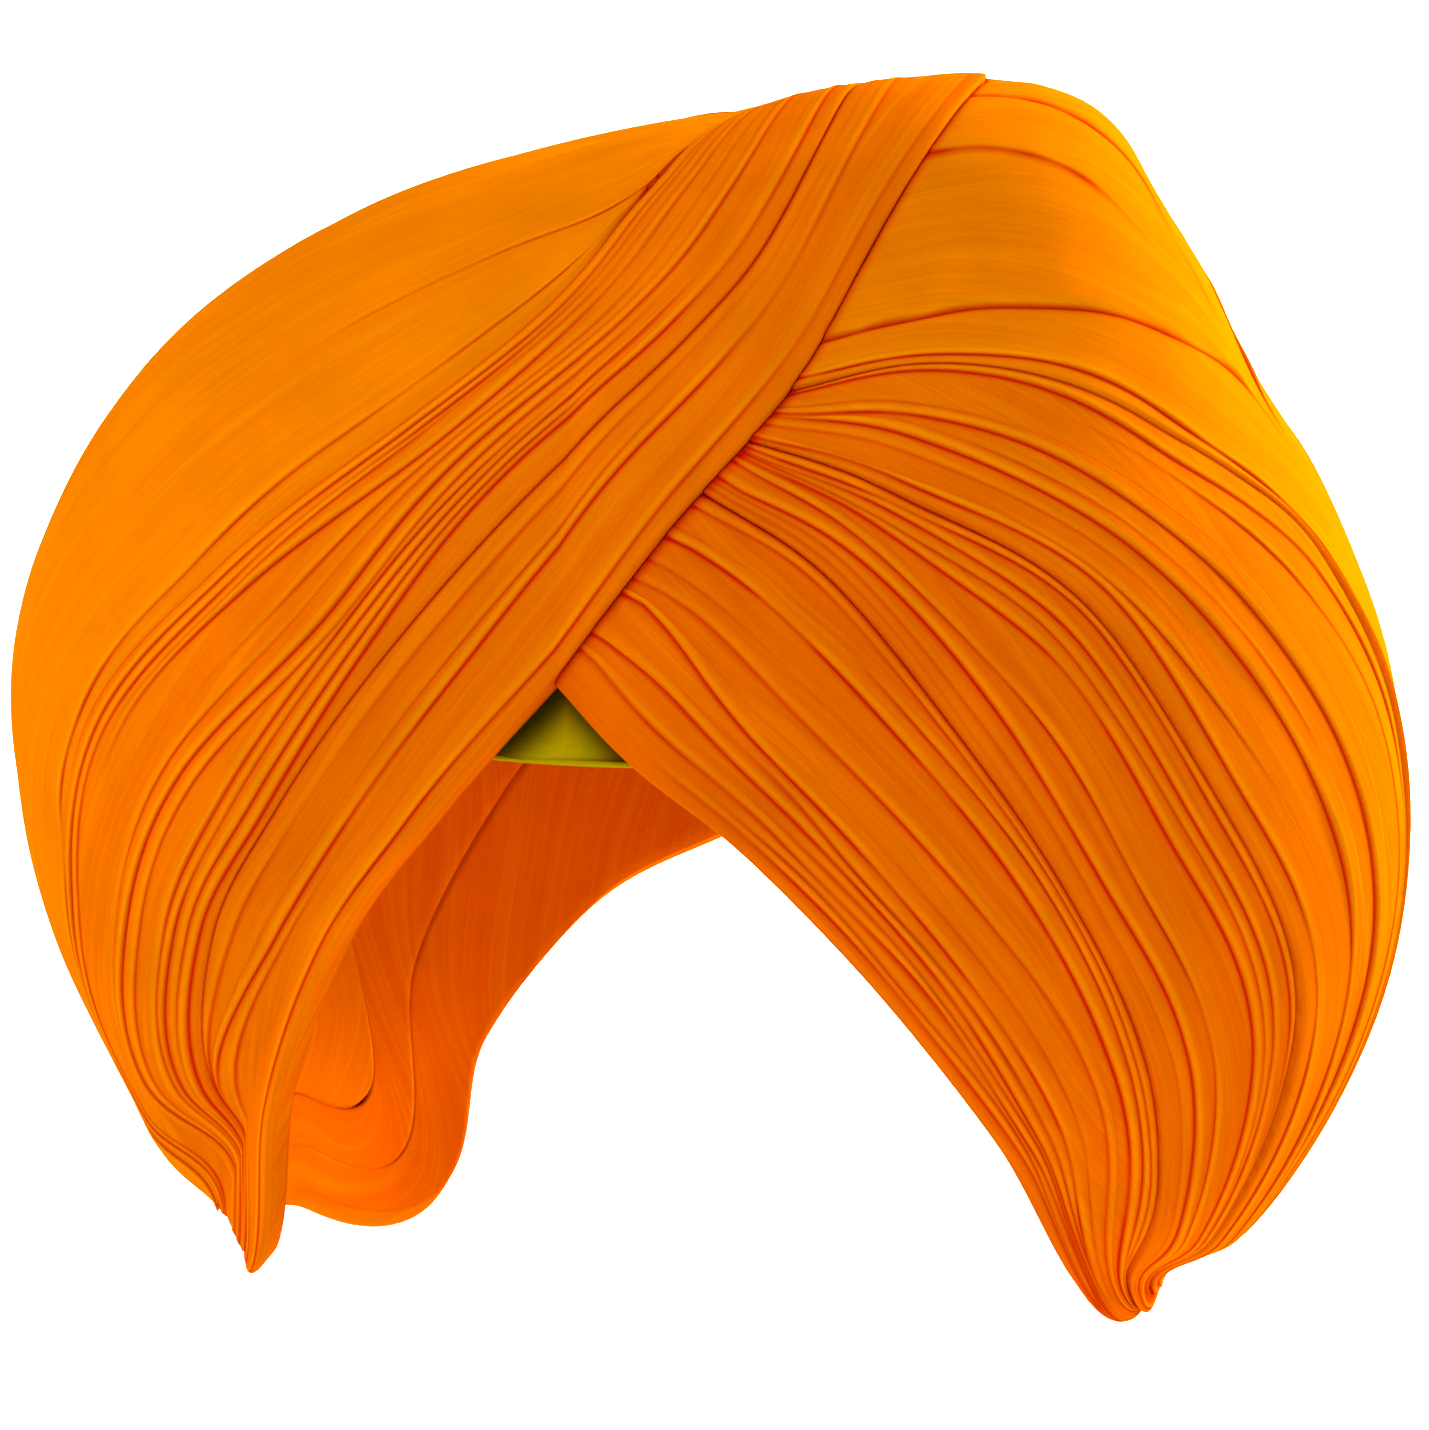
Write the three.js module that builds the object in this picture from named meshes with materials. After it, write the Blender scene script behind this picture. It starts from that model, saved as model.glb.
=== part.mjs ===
// A tied turban of wound cloth in its worn form, head hollow open below.
// Millimetres, +Z up, the front faces -Y. Directions are taken from the head centre:
// azimuth from the front towards +X (the wearer's left), elevation up from level, in degrees.
import * as THREE from 'three';

// Head hollow: an upright elliptic tube below the brow, a dome above it.
const HEAD_HALF_WIDTH = 77;
const HEAD_HALF_LENGTH = 98;
const HEAD_DOME_HEIGHT = 84;

// Clearances and walls.
const SEAT_GAP = 0.8;
const LAP_GAP = 0.8;
const END_STATION = 0.1;
const UNDER_CLOTH_WALL = 1.5;
const RIM_WALL_SIDE = 5.5;
const RIM_WALL_EXTRA = 2;
const RIM_ROUNDING = 0.3;
const LAP_STEP = 2.2;
const BAND_LIFT = 1.2;
const TUCK_DEPTH = 2.4;
const TUCK_REACH = 0.8;

// Under-cloth band round the head.
const UNDER_CLOTH = { lower: 5.6, upper: 36, turns: 36, rows: 3 };

// Wound form: outer radius by elevation, one column for each side of the head.
const FORM = [
  { elevation: -60, front: 118, left: 134, back: 132, right: 134 },
  { elevation: -40, front: 116, left: 133, back: 134, right: 130 },
  { elevation: -20, front: 114, left: 129, back: 136, right: 129 },
  { elevation: 0, front: 113, left: 122, back: 136, right: 129.5 },
  { elevation: 15, front: 115, left: 115.5, back: 134, right: 126 },
  { elevation: 30, front: 118, left: 112.5, back: 130, right: 120.5 },
  { elevation: 45, front: 119, left: 121, back: 125, right: 113 },
  { elevation: 58, front: 117, left: 131, back: 118, right: 107.5 },
  { elevation: 72, front: 111.5, left: 122, back: 109, right: 104.5 },
  { elevation: 90, front: 107, left: 107, back: 107, right: 107 },
];

// Face edge by azimuth away from the front: elevation of the edge, and the rise to the full form.
const RIM = [
  { azimuth: 0, elevation: 13.5, rise: 32 },
  { azimuth: 20, elevation: -6.3, rise: 30 },
  { azimuth: 40, elevation: -26.5, rise: 24 },
  { azimuth: 60, elevation: -43, rise: 14 },
  { azimuth: 77, elevation: -51, rise: 9 },
  { azimuth: 112, elevation: -51, rise: 9 },
];

// The back repeats the front, folded about the side lines, with a lower middle.
const LEFT_SIDE_LINE = 112;
const RIGHT_SIDE_LINE = -90;
const NAPE_DROP = 34.5;
const NAPE_REACH = 77;
const NAPE_POWER = 2;
const NAPE_HEIGHT = 45;

// Three-quarter elevation on which the fold lines below are measured.
const SHEET_AZIMUTH = 15;
const SHEET_ELEVATION = 12;
const SHEET_REACH = 240;

// Slanting hoop of the right side: its lines run from the ear over the front to the crown.
// Columns: stations from the ear to the crown, as [across, up] in mm on the elevation or, where they
// lie round the side, as angles; then the two ends.
const HOOP_LINES = [
  {
    name: 'edge',
    stations: [
      [-81.5, -102.5], [-79, -74.6], [-67.5, -43.7], [-50.2, -20.9],
      [-28.4, 3.6], [-7.5, 30.6], [15.3, 57.1], [29.7, 82.3],
    ],
    ear: { azimuth: -90, elevation: -50.5 },
    crown: { azimuth: 112, elevation: 66 },
  },
  {
    name: 'middle',
    stations: [
      { azimuth: -76, elevation: -43.5 }, [-92.1, -70.1], [-92.5, -40.9], [-80.8, -17.3],
      [-58.4, 12.7], [-32, 40.9], [-4.7, 67.3], [12.6, 90.1],
    ],
    ear: { azimuth: -90, elevation: -45 },
    crown: { azimuth: 112, elevation: 77.5 },
  },
  {
    name: 'upper',
    stations: [
      { azimuth: -83, elevation: -34 }, { azimuth: -78, elevation: -22 }, [-116.5, -31.8], [-112.1, -1.8],
      [-89.4, 23.7], [-55.7, 50], [-27.5, 72.8], [-12, 91.9],
    ],
    ear: { azimuth: -90, elevation: -39 },
    crown: { azimuth: 112, elevation: 89 },
  },
];
const APEX_STATION = 5;
const SPREAD_STATION = 7;
const LEFT_SPREAD_START = 1;
const RIGHT_SPREAD_START = 1;
const RIGHT_SPREAD_STATION = 8;
const SPREAD_BOW = 3;
const CROWN_STATION = 9;

// Laps of the left side: from under the hoop, down to the ear, and on round the back.
// Columns: where the line leaves the hoop (hoop station), then [across, up] in mm.
const LEFT_LINES = [
  { leaves: 5, stations: [[-13.8, -11.5], [7.1, -28.2], [31.7, -53.7], [55.3, -83.7], [72.3, -112.1]] },
  { leaves: 5.93, stations: [[13.5, 15.5], [36.2, -8.2], [56.2, -32.8], [72.6, -67.3], [74.6, -108.7]] },
  { leaves: 6.45, stations: [[26.2, 26], [50.8, -2.7], [70.8, -33.7], [85.4, -64.6], [78.1, -105.6]] },
  { leaves: 6.64, stations: [[35.3, 37.3], [67.2, 19.1], [90.8, -14.6], [106.3, -53.7], [83.5, -100.6]] },
  {
    leaves: 6.82,
    stations: [[38.9, 48.2], [75.3, 29.1], [102.6, -3.6], [115, -46.4], { azimuth: 93, elevation: -43 }],
  },
  {
    leaves: 7,
    stations: [[44.4, 61.3], [80.8, 51], [109.9, 30], [126.3, -17.3], { azimuth: 104, elevation: -36 }],
  },
];
const LEFT_EAR = { azimuth: 112, lower: -50.5, upper: -41 };

// Laps: the share of their family they take and their folds.
// Fold columns: place across the lap at the hoop, half way and at the ear; depth in mm.
const LEFT_LAPS = [
  {
    name: 'left_lap_1', from: 0, to: 0.32, shade: 0xee7400,
    folds: [
      { hoop: 0.26, middle: 0.2, ear: 0.2, depth: 1.6 },
      { hoop: 0.46, middle: 0.4, ear: 0.4, depth: 1.4 },
      { hoop: 0.68, middle: 0.62, ear: 0.62, depth: 2.2 },
      { hoop: 0.85, middle: 0.82, ear: 0.82, depth: 1.4 },
    ],
  },
  {
    name: 'left_lap_2', from: 0.32, to: 0.6, shade: 0xf07800,
    folds: [
      { hoop: 0.16, middle: 0.2, ear: 0.18, depth: 2.2 },
      { hoop: 0.34, middle: 0.36, ear: 0.34, depth: 1.4 },
      { hoop: 0.52, middle: 0.55, ear: 0.5, depth: 2.2 },
      { hoop: 0.68, middle: 0.7, ear: 0.66, depth: 1.4 },
      { hoop: 0.84, middle: 0.86, ear: 0.84, depth: 1.8 },
    ],
  },
  {
    name: 'left_lap_3', from: 0.6, to: 1, shade: 0xf58300,
    folds: [
      { hoop: 0.22, middle: 0.22, ear: 0.2, depth: 1.6 },
      { hoop: 0.5, middle: 0.5, ear: 0.45, depth: 2.4 },
      { hoop: 0.68, middle: 0.68, ear: 0.66, depth: 1.4 },
      { hoop: 0.85, middle: 0.85, ear: 0.84, depth: 1.8 },
    ],
  },
];

// Hoops of the right side. Fold columns: place across at the ear, the forehead and the crown; depth.
const HOOP_LAPS = [
  {
    name: 'final_lap', from: 0, to: 0.45, shade: 0xec7200,
    folds: [
      { ear: 0.16, forehead: 0.12, crown: 0.12, depth: 1 },
      { ear: 0.32, forehead: 0.3, crown: 0.34, depth: 1.4 },
      { ear: 0.5, forehead: 0.56, crown: 0.55, depth: 2 },
      { ear: 0.82, forehead: 0.86, crown: 0.85, depth: 1.6 },
    ],
  },
  {
    name: 'right_lap', from: 0.45, to: 1, shade: 0xf07a00,
    folds: [
      { ear: 0.16, forehead: 0.12, crown: 0.16, depth: 2.4 },
      { ear: 0.33, forehead: 0.3, crown: 0.33, depth: 1.8 },
      { ear: 0.5, forehead: 0.44, crown: 0.48, depth: 2.4 },
      { ear: 0.67, forehead: 0.66, crown: 0.66, depth: 1.8 },
      { ear: 0.84, forehead: 0.84, crown: 0.84, depth: 2.2 },
    ],
  },
];

// Spreads over the crown. Fold columns: place across at the ear, half way and at the far end; depth.
const LEFT_SPREAD_FOLDS = [
  { ear: 0.12, middle: 0.1, end: 0.08, depth: 2.4 },
  { ear: 0.26, middle: 0.22, end: 0.2, depth: 1 },
  { ear: 0.42, middle: 0.4, end: 0.38, depth: 1.2 },
  { ear: 0.58, middle: 0.62, end: 0.64, depth: 1.2 },
  { ear: 0.75, middle: 0.79, end: 0.81, depth: 1 },
  { ear: 0.88, middle: 0.91, end: 0.93, depth: 2.4 },
];
const RIGHT_SPREAD_FOLDS = [
  { ear: 0.1, middle: 0.09, end: 0.1, depth: 1.4 },
  { ear: 0.24, middle: 0.21, end: 0.22, depth: 1 },
  { ear: 0.37, middle: 0.35, end: 0.36, depth: 1.2 },
  { ear: 0.5, middle: 0.5, end: 0.5, depth: 1 },
  { ear: 0.63, middle: 0.65, end: 0.64, depth: 1.2 },
  { ear: 0.77, middle: 0.79, end: 0.78, depth: 1 },
  { ear: 0.9, middle: 0.91, end: 0.9, depth: 1.4 },
];

// Pleat profile: crest and shoulder between one fold and the next, as shares of the depth.
const CREST = { place: 0.3, height: 0.5 };
const SHOULDER = { place: 0.66, height: 0.3 };
const FOLD_SLOPE = 0.4;

// Facets.
const LEFT_SECTIONS = 36;
const HOOP_SECTIONS = 54;
const INNER_POINTS = 5;
const SPREAD_INNER_POINTS = 13;
const SPREAD_TUCK = 0.82;

// Finish.
const CLOTH_ROUGHNESS = 0.82;
const UNDER_CLOTH_COLOR = 0x8e9000;

const clamp01 = (value) => Math.min(Math.max(value, 0), 1);
const smooth = (value) => clamp01(value) ** 2 * (3 - 2 * clamp01(value));

/** Unit direction from azimuth and elevation in degrees. */
function direction({ azimuth, elevation }) {
  const a = THREE.MathUtils.degToRad(azimuth);
  const e = THREE.MathUtils.degToRad(elevation);
  return new THREE.Vector3(Math.cos(e) * Math.sin(a), -Math.cos(e) * Math.cos(a), Math.sin(e));
}

/** Azimuth and elevation of a direction in degrees. */
function anglesOf(vector) {
  const level = Math.hypot(vector.x, vector.y);
  return {
    azimuth: THREE.MathUtils.radToDeg(Math.atan2(vector.x, -vector.y)),
    elevation: THREE.MathUtils.radToDeg(Math.atan2(vector.z, level)),
  };
}

/** Smooth value of one table column between rows. */
function tableValue(rows, key, column, at) {
  const last = rows.length - 1;
  if (at <= rows[0][key]) return rows[0][column];
  if (at >= rows[last][key]) return rows[last][column];
  const i = rows.findIndex((row) => row[key] > at) - 1;
  const span = rows[i + 1][key] - rows[i][key];
  const f = (at - rows[i][key]) / span;
  const slope = (k) => {
    const a = rows[Math.max(k - 1, 0)];
    const b = rows[Math.min(k + 1, last)];
    return (b[column] - a[column]) / (b[key] - a[key]);
  };
  const h1 = f * f * (3 - 2 * f);
  const rise = span * (slope(i) * f * (1 - f) ** 2 - slope(i + 1) * f * f * (1 - f));
  return rows[i][column] * (1 - h1) + rows[i + 1][column] * h1 + rise;
}

/** Radius of the head hollow in a direction. */
function headRadius(dir) {
  const level = (dir.x / HEAD_HALF_WIDTH) ** 2 + (dir.y / HEAD_HALF_LENGTH) ** 2;
  const dome = dir.z > 0 ? (dir.z / HEAD_DOME_HEIGHT) ** 2 : 0;
  return 1 / Math.sqrt(level + dome);
}

/** Front azimuth that a back azimuth repeats, and whether it is at the back. */
function foldedAzimuth(azimuth) {
  if (azimuth > LEFT_SIDE_LINE) {
    return { front: (180 - azimuth) * LEFT_SIDE_LINE / (180 - LEFT_SIDE_LINE), back: true };
  }
  if (azimuth < RIGHT_SIDE_LINE) return { front: -180 - azimuth, back: true };
  return { front: azimuth, back: false };
}

/** How much lower the back lies at a front azimuth. */
function napeDrop(frontAzimuth) {
  return NAPE_DROP * Math.max(0, 1 - Math.abs(frontAzimuth) / NAPE_REACH) ** NAPE_POWER;
}

/** Elevation of the lower edge at any azimuth. */
function rimElevation(azimuth) {
  const { front, back } = foldedAzimuth(azimuth);
  const rim = tableValue(RIM, 'azimuth', 'elevation', Math.abs(front));
  return back ? rim - napeDrop(front) : rim;
}

/** Outer radius of the wound form, thin along the lower edge. */
function formRadius(dir) {
  const { azimuth, elevation } = anglesOf(dir);
  const a = THREE.MathUtils.degToRad(azimuth);
  const side = (column) => tableValue(FORM, 'elevation', column, elevation);
  const [front, left, back, right] = ['front', 'left', 'back', 'right'].map(side);
  const mean = (front + left + back + right) / 4;
  const oval = (front + back - left - right) / 4;
  const full = mean + (front - back) / 2 * Math.cos(a) + (left - right) / 2 * Math.sin(a)
    + oval * Math.cos(2 * a);
  const edge = innerRadius(dir) + RIM_WALL_SIDE + RIM_WALL_EXTRA * Math.cos(a) ** 2;
  const reach = tableValue(RIM, 'azimuth', 'rise', Math.abs(foldedAzimuth(azimuth).front));
  const rise = clamp01((elevation - rimElevation(azimuth)) / reach);
  return edge + Math.max(0, full - edge) * (1 - (1 - rise) ** 2);
}

/** Inner radius of the wound laps, just clear of the under-cloth. */
function innerRadius(dir) {
  return headRadius(dir) + UNDER_CLOTH_WALL + SEAT_GAP;
}

/** Direction of a station: given by its angles, or drawn on the elevation's near side of the form. */
function fromSheet(station) {
  if (!Array.isArray(station)) return direction(station);
  const [across, up] = station;
  const a = THREE.MathUtils.degToRad(SHEET_AZIMUTH);
  const e = THREE.MathUtils.degToRad(SHEET_ELEVATION);
  const near = direction({ azimuth: SHEET_AZIMUTH, elevation: SHEET_ELEVATION });
  const right = new THREE.Vector3(Math.cos(a), Math.sin(a), 0);
  const top = new THREE.Vector3(-Math.sin(a) * Math.sin(e), Math.cos(a) * Math.sin(e), Math.cos(e));
  const at = (reach) => right.clone().multiplyScalar(across).addScaledVector(top, up)
    .addScaledVector(near, reach);
  const outside = (reach) => {
    const point = at(reach);
    return point.length() > formRadius(point.clone().normalize());
  };
  let low = 0;
  let high = SHEET_REACH;
  if (outside(low)) return at(low).normalize();
  while (high - low > 1e-3) {
    const middle = (low + high) / 2;
    if (outside(middle)) high = middle;
    else low = middle;
  }
  return at(low).normalize();
}

/** The direction at the back that repeats a direction of the front. */
function backOf(dir) {
  const { azimuth, elevation } = anglesOf(dir);
  const share = azimuth < 0 ? 1 : (180 - LEFT_SIDE_LINE) / LEFT_SIDE_LINE;
  const above = (elevation - rimElevation(azimuth)) / NAPE_HEIGHT;
  const drop = napeDrop(azimuth) * clamp01(1 - above);
  return direction({ azimuth: 180 - share * azimuth, elevation: elevation - drop });
}

/** Smooth curve through points at whole values of t, carried straight on past its ends. */
function openCurve(points, t) {
  const last = points.length - 1;
  const at = (k) => {
    if (k < 0) return points[0].clone().multiplyScalar(2).sub(points[1]);
    if (k > last) return points[last].clone().multiplyScalar(2).sub(points[last - 1]);
    return points[k];
  };
  const i = Math.min(Math.max(Math.floor(t), 0), last - 1);
  return blend([at(i - 1), at(i), at(i + 1), at(i + 2)], t - i);
}

/** Smooth closed curve through points at whole values of t. */
function closedCurve(points, t) {
  const count = points.length;
  const i = Math.floor(t);
  const at = (k) => points[((k % count) + count) % count];
  return blend([at(i - 1), at(i), at(i + 1), at(i + 2)], t - i);
}

/** Cubic blend of four neighbouring points. */
function blend([p0, p1, p2, p3], f) {
  const f2 = f * f;
  const f3 = f2 * f;
  return new THREE.Vector3()
    .addScaledVector(p0, 0.5 * (-f + 2 * f2 - f3))
    .addScaledVector(p1, 0.5 * (2 - 5 * f2 + 3 * f3))
    .addScaledVector(p2, 0.5 * (f + 4 * f2 - 3 * f3))
    .addScaledVector(p3, 0.5 * (-f2 + f3));
}

// Lines of the hoop as closed rings of directions: ear, front, crown, back.
const hoopRings = HOOP_LINES.map(({ stations, ear, crown }) => {
  const front = stations.map(fromSheet);
  const back = front.map(backOf).reverse();
  return [direction(ear), ...front, direction(crown), ...back];
});
const HOOP_COUNT = hoopRings[0].length;

/** Direction on the hoop at a station and a place across. */
function hoopDirection(station, across) {
  const points = hoopRings.map((ring) => closedCurve(ring, station));
  return openCurve(points, across * (hoopRings.length - 1)).normalize();
}

// Lines of the left side as open runs of directions: hoop, front, ear, back, hoop.
const leftRuns = LEFT_LINES.map(({ leaves, stations }, i) => {
  const front = [hoopDirection(leaves, 0), ...stations.map(fromSheet)];
  const share = i / (LEFT_LINES.length - 1);
  const { azimuth, lower, upper } = LEFT_EAR;
  const ear = direction({ azimuth, elevation: lower + (upper - lower) * share });
  const back = stations.map(fromSheet).map(backOf).reverse();
  return [...front, ear, ...back, hoopDirection(HOOP_COUNT - leaves, 0)];
});
const LEFT_LAST = leftRuns[0].length - 1;
const LEFT_EAR_STATION = LEFT_LAST / 2;

/** Hoop station at which a left line leaves the hoop. */
function leavesAt(across) {
  const rows = LEFT_LINES.map(({ leaves }, i) => ({ across: i / (LEFT_LINES.length - 1), leaves }));
  return tableValue(rows, 'across', 'leaves', across);
}

/** Direction on the left side at a station and a place across; its ends follow the hoop's edge. */
function leftDirection(station, across) {
  const row = across * (leftRuns.length - 1);
  const lattice = (at) => openCurve(leftRuns.map((run) => openCurve(run, at)), row);
  const fromHoop = Math.min(station, LEFT_LAST - station);
  const point = lattice(station);
  if (fromHoop < 1) {
    const front = station < 1;
    const leaves = leavesAt(across);
    const edge = hoopDirection(front ? leaves : HOOP_COUNT - leaves, 0);
    const bow = edge.sub(lattice(front ? 0 : LEFT_LAST));
    point.addScaledVector(bow, (1 - Math.max(fromHoop, 0)) ** 2);
  }
  return point.normalize();
}

/** Direction on a spread between its front and back lines, from its ear edge (0) to its crown edge (1). */
function spreadDirection({ front, back, earEdge, crownEdge }, along, across) {
  const chord = front(along).lerp(back(along), across);
  const earBow = earEdge(across).sub(front(0).lerp(back(0), across));
  const crownBow = crownEdge(across).sub(front(1).lerp(back(1), across));
  return chord.addScaledVector(earBow, (1 - along) ** SPREAD_BOW)
    .addScaledVector(crownBow, along ** SPREAD_BOW).normalize();
}

const leftSpreadStation = (along) => (LEFT_EAR_STATION - LEFT_SPREAD_START) * (1 - along);
const LEFT_SPREAD_LINES = {
  front: (along) => leftDirection(leftSpreadStation(along), 1),
  back: (along) => leftDirection(LEFT_LAST - leftSpreadStation(along), 1),
  earEdge: (across) => leftDirection(LEFT_EAR_STATION + LEFT_SPREAD_START * (2 * across - 1), 1),
  crownEdge: (across) => hoopDirection(
    SPREAD_STATION + (HOOP_COUNT - 2 * SPREAD_STATION) * across, 0),
};
const rightSpreadStation = (along) => (
  RIGHT_SPREAD_START + (RIGHT_SPREAD_STATION - RIGHT_SPREAD_START) * along);
const RIGHT_SPREAD_LINES = {
  front: (along) => hoopDirection(rightSpreadStation(along), 1),
  back: (along) => hoopDirection(HOOP_COUNT - rightSpreadStation(along), 1),
  earEdge: (across) => hoopDirection(RIGHT_SPREAD_START * (1 - 2 * across), 1),
  crownEdge: (across) => hoopDirection(
    RIGHT_SPREAD_STATION + (HOOP_COUNT - 2 * RIGHT_SPREAD_STATION) * across, 1),
};

const SPREADS = [
  {
    name: 'left_spread', shade: 0xfa9200, folds: LEFT_SPREAD_FOLDS, lines: LEFT_SPREAD_LINES,
    sections: 15, earGap: 0.012, crownGap: 0.009,
  },
  {
    name: 'right_spread', shade: 0xf28000, folds: RIGHT_SPREAD_FOLDS, lines: RIGHT_SPREAD_LINES,
    sections: 21, earGap: 0.006, crownGap: 0.012,
  },
];

/** Value of a three-column row at 0, 0.5 and 1. */
function threeWay(first, second, third, at) {
  const f = clamp01(at);
  return f < 0.5
    ? first + (second - first) * smooth(2 * f)
    : second + (third - second) * smooth(2 * f - 1);
}

/** Places across a lap with their pleat heights, as shares of the lap's width. */
function pleatProfile(places, width) {
  const points = [];
  places.forEach(({ place, depth }, i) => {
    const next = i + 1 < places.length ? places[i + 1].place : 1;
    const room = next - place;
    const height = Math.min(depth, FOLD_SLOPE * room * width);
    points.push({ place, height: -height });
    points.push({ place: place + CREST.place * room, height: CREST.height * height });
    points.push({ place: place + SHOULDER.place * room, height: SHOULDER.height * height });
  });
  return [{ place: 0, height: 0 }, ...points, { place: 1, height: 0 }];
}

/** One closed section of a lap: the pleated outside, then the plain inside back again. */
function lapSection({ toward, profile, lift, edgeShare, innerPoints }) {
  const outer = profile.map(({ place, height }) => {
    const dir = toward(place);
    const inside = innerRadius(dir);
    const wall = formRadius(dir) - inside + lift(place) + height;
    const share = edgeShare(place);
    return dir.multiplyScalar(inside + Math.max(wall * share, RIM_WALL_SIDE * share));
  });
  const inner = [];
  for (let k = innerPoints - 1; k >= 0; k -= 1) {
    const dir = toward(k / (innerPoints - 1));
    inner.push(dir.clone().multiplyScalar(innerRadius(dir)));
  }
  return [...outer, ...inner];
}

/** Triangles that close an end section between its outside and its inside row. */
function endFaces(first, outerCount, count) {
  const outer = (k) => first + k;
  const inner = (k) => first + count - 1 - k;
  const innerLast = count - outerCount - 1;
  const faces = [];
  let i = 0;
  let j = 0;
  while (i < outerCount - 1 || j < innerLast) {
    const outerNext = (i + 1) / (outerCount - 1);
    const innerNext = (j + 1) / innerLast;
    if (outerNext <= innerNext) {
      faces.push(outer(i), outer(i + 1), inner(j));
      i += 1;
    } else {
      faces.push(outer(i), inner(j + 1), inner(j));
      j += 1;
    }
  }
  return faces;
}

/** Signed volume inside a list of triangles. */
function volumeOf(points, faces) {
  let sum = 0;
  for (let i = 0; i < faces.length; i += 3) {
    const [a, b, c] = [points[faces[i]], points[faces[i + 1]], points[faces[i + 2]]];
    sum += a.dot(b.clone().cross(c)) / 6;
  }
  return sum;
}

/** Closed solid through sections of one size, its faces looking outwards. */
function solidThrough(sections, ring, outerCount) {
  const count = sections[0].length;
  const points = sections.flat();
  const spans = ring ? sections.length : sections.length - 1;
  let faces = [];
  for (let n = 0; n < spans; n += 1) {
    const here = n * count;
    const there = ((n + 1) % sections.length) * count;
    for (let k = 0; k < count; k += 1) {
      const next = (k + 1) % count;
      faces.push(here + k, there + k, there + next, here + k, there + next, here + next);
    }
  }
  if (!ring) {
    const last = (sections.length - 1) * count;
    faces.push(...endFaces(0, outerCount, count));
    faces.push(...endFaces(last, outerCount, count).reverse());
  }
  if (volumeOf(points, faces) < 0) faces = faces.reverse();
  const geometry = new THREE.BufferGeometry().setFromPoints(points);
  geometry.setIndex(faces);
  geometry.computeVertexNormals();
  return geometry;
}

/** Distance in mm across a lap between two places. */
function widthOf(toward) {
  const [a, b, c] = [0, 0.5, 1].map((place) => {
    const dir = toward(place);
    return dir.multiplyScalar(formRadius(dir));
  });
  return a.distanceTo(b) + b.distanceTo(c);
}

/** A lap of the left side from the hoop round the ear to the hoop at the back. */
function leftLap({ from, to, folds }) {
  const sections = [];
  for (let n = 0; n <= LEFT_SECTIONS; n += 1) {
    const nominal = LEFT_LAST * n / LEFT_SECTIONS;
    const station = THREE.MathUtils.clamp(nominal, END_STATION, LEFT_LAST - END_STATION);
    const whole = (place) => leftDirection(station, from + (to - from) * place);
    const width = widthOf(whole);
    const margin = LAP_GAP / 2 / width;
    const lower = from > 0 ? margin : 0;
    const toward = (place) => whole(lower + (1 - lower - margin) * place);
    const fromHoop = Math.min(station, LEFT_LAST - station);
    const along = fromHoop / LEFT_EAR_STATION;
    const places = folds.map(({ hoop, middle, ear, depth }) => (
      { place: threeWay(hoop, middle, ear, along), depth }));
    const tuck = -TUCK_DEPTH * (1 - smooth(fromHoop / TUCK_REACH));
    const step = from > 0 ? LAP_STEP : 0;
    sections.push(lapSection({
      toward,
      profile: pleatProfile(places, width),
      lift: (place) => tuck + step * (1 - place) ** 2,
      edgeShare: (place) => (place === 0 && from === 0 ? 1 - RIM_ROUNDING : 1),
      innerPoints: INNER_POINTS,
    }));
  }
  return solidThrough(sections, false, sections[0].length - INNER_POINTS);
}

/** A hoop of the right side: ear, front, crown, back and round again. */
function hoopLap({ from, to, folds }) {
  const sections = [];
  for (let n = 0; n < HOOP_SECTIONS; n += 1) {
    const station = HOOP_COUNT * n / HOOP_SECTIONS;
    const whole = (place) => hoopDirection(station, from + (to - from) * place);
    const width = widthOf(whole);
    const margin = LAP_GAP / 2 / width;
    const lower = from > 0 ? margin : 0;
    const toward = (place) => whole(lower + (1 - lower - margin) * place);
    const fromEar = Math.min(station, HOOP_COUNT - station);
    const along = fromEar / CROWN_STATION;
    const places = folds.map(({ ear, forehead, crown, depth }) => (
      { place: threeWay(ear, forehead, crown, along), depth }));
    const onTop = smooth((fromEar - APEX_STATION + 1) / 2);
    const rim = from === 0 ? 1 - smooth(fromEar - APEX_STATION + 1) : 0;
    sections.push(lapSection({
      toward,
      profile: pleatProfile(places, width),
      lift: (place) => BAND_LIFT * onTop * (1 - place * (from === 0 ? 0 : 1)),
      edgeShare: (place) => (place === 0 ? 1 - RIM_ROUNDING * rim : 1),
      innerPoints: INNER_POINTS,
    }));
  }
  return solidThrough(sections, true);
}

/** A spread of cloth from the ear over the crown. */
function spread({ folds, lines, sections: count, earGap, crownGap }) {
  const sections = [];
  for (let n = 0; n <= count; n += 1) {
    const along = THREE.MathUtils.clamp(n / count, earGap, 1 - crownGap);
    const whole = (place) => spreadDirection(lines, along, place);
    const width = widthOf(whole);
    const margin = LAP_GAP / 2 / width;
    const toward = (place) => whole(margin + (1 - 2 * margin) * place);
    const places = folds.map(({ ear, middle, end, depth }) => (
      { place: threeWay(ear, middle, end, along), depth }));
    const tuck = -TUCK_DEPTH * smooth((along - SPREAD_TUCK) / (1 - SPREAD_TUCK));
    sections.push(lapSection({
      toward,
      profile: pleatProfile(places, width),
      lift: () => tuck,
      edgeShare: () => 1,
      innerPoints: SPREAD_INNER_POINTS,
    }));
  }
  return solidThrough(sections, false, sections[0].length - SPREAD_INNER_POINTS);
}

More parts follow.
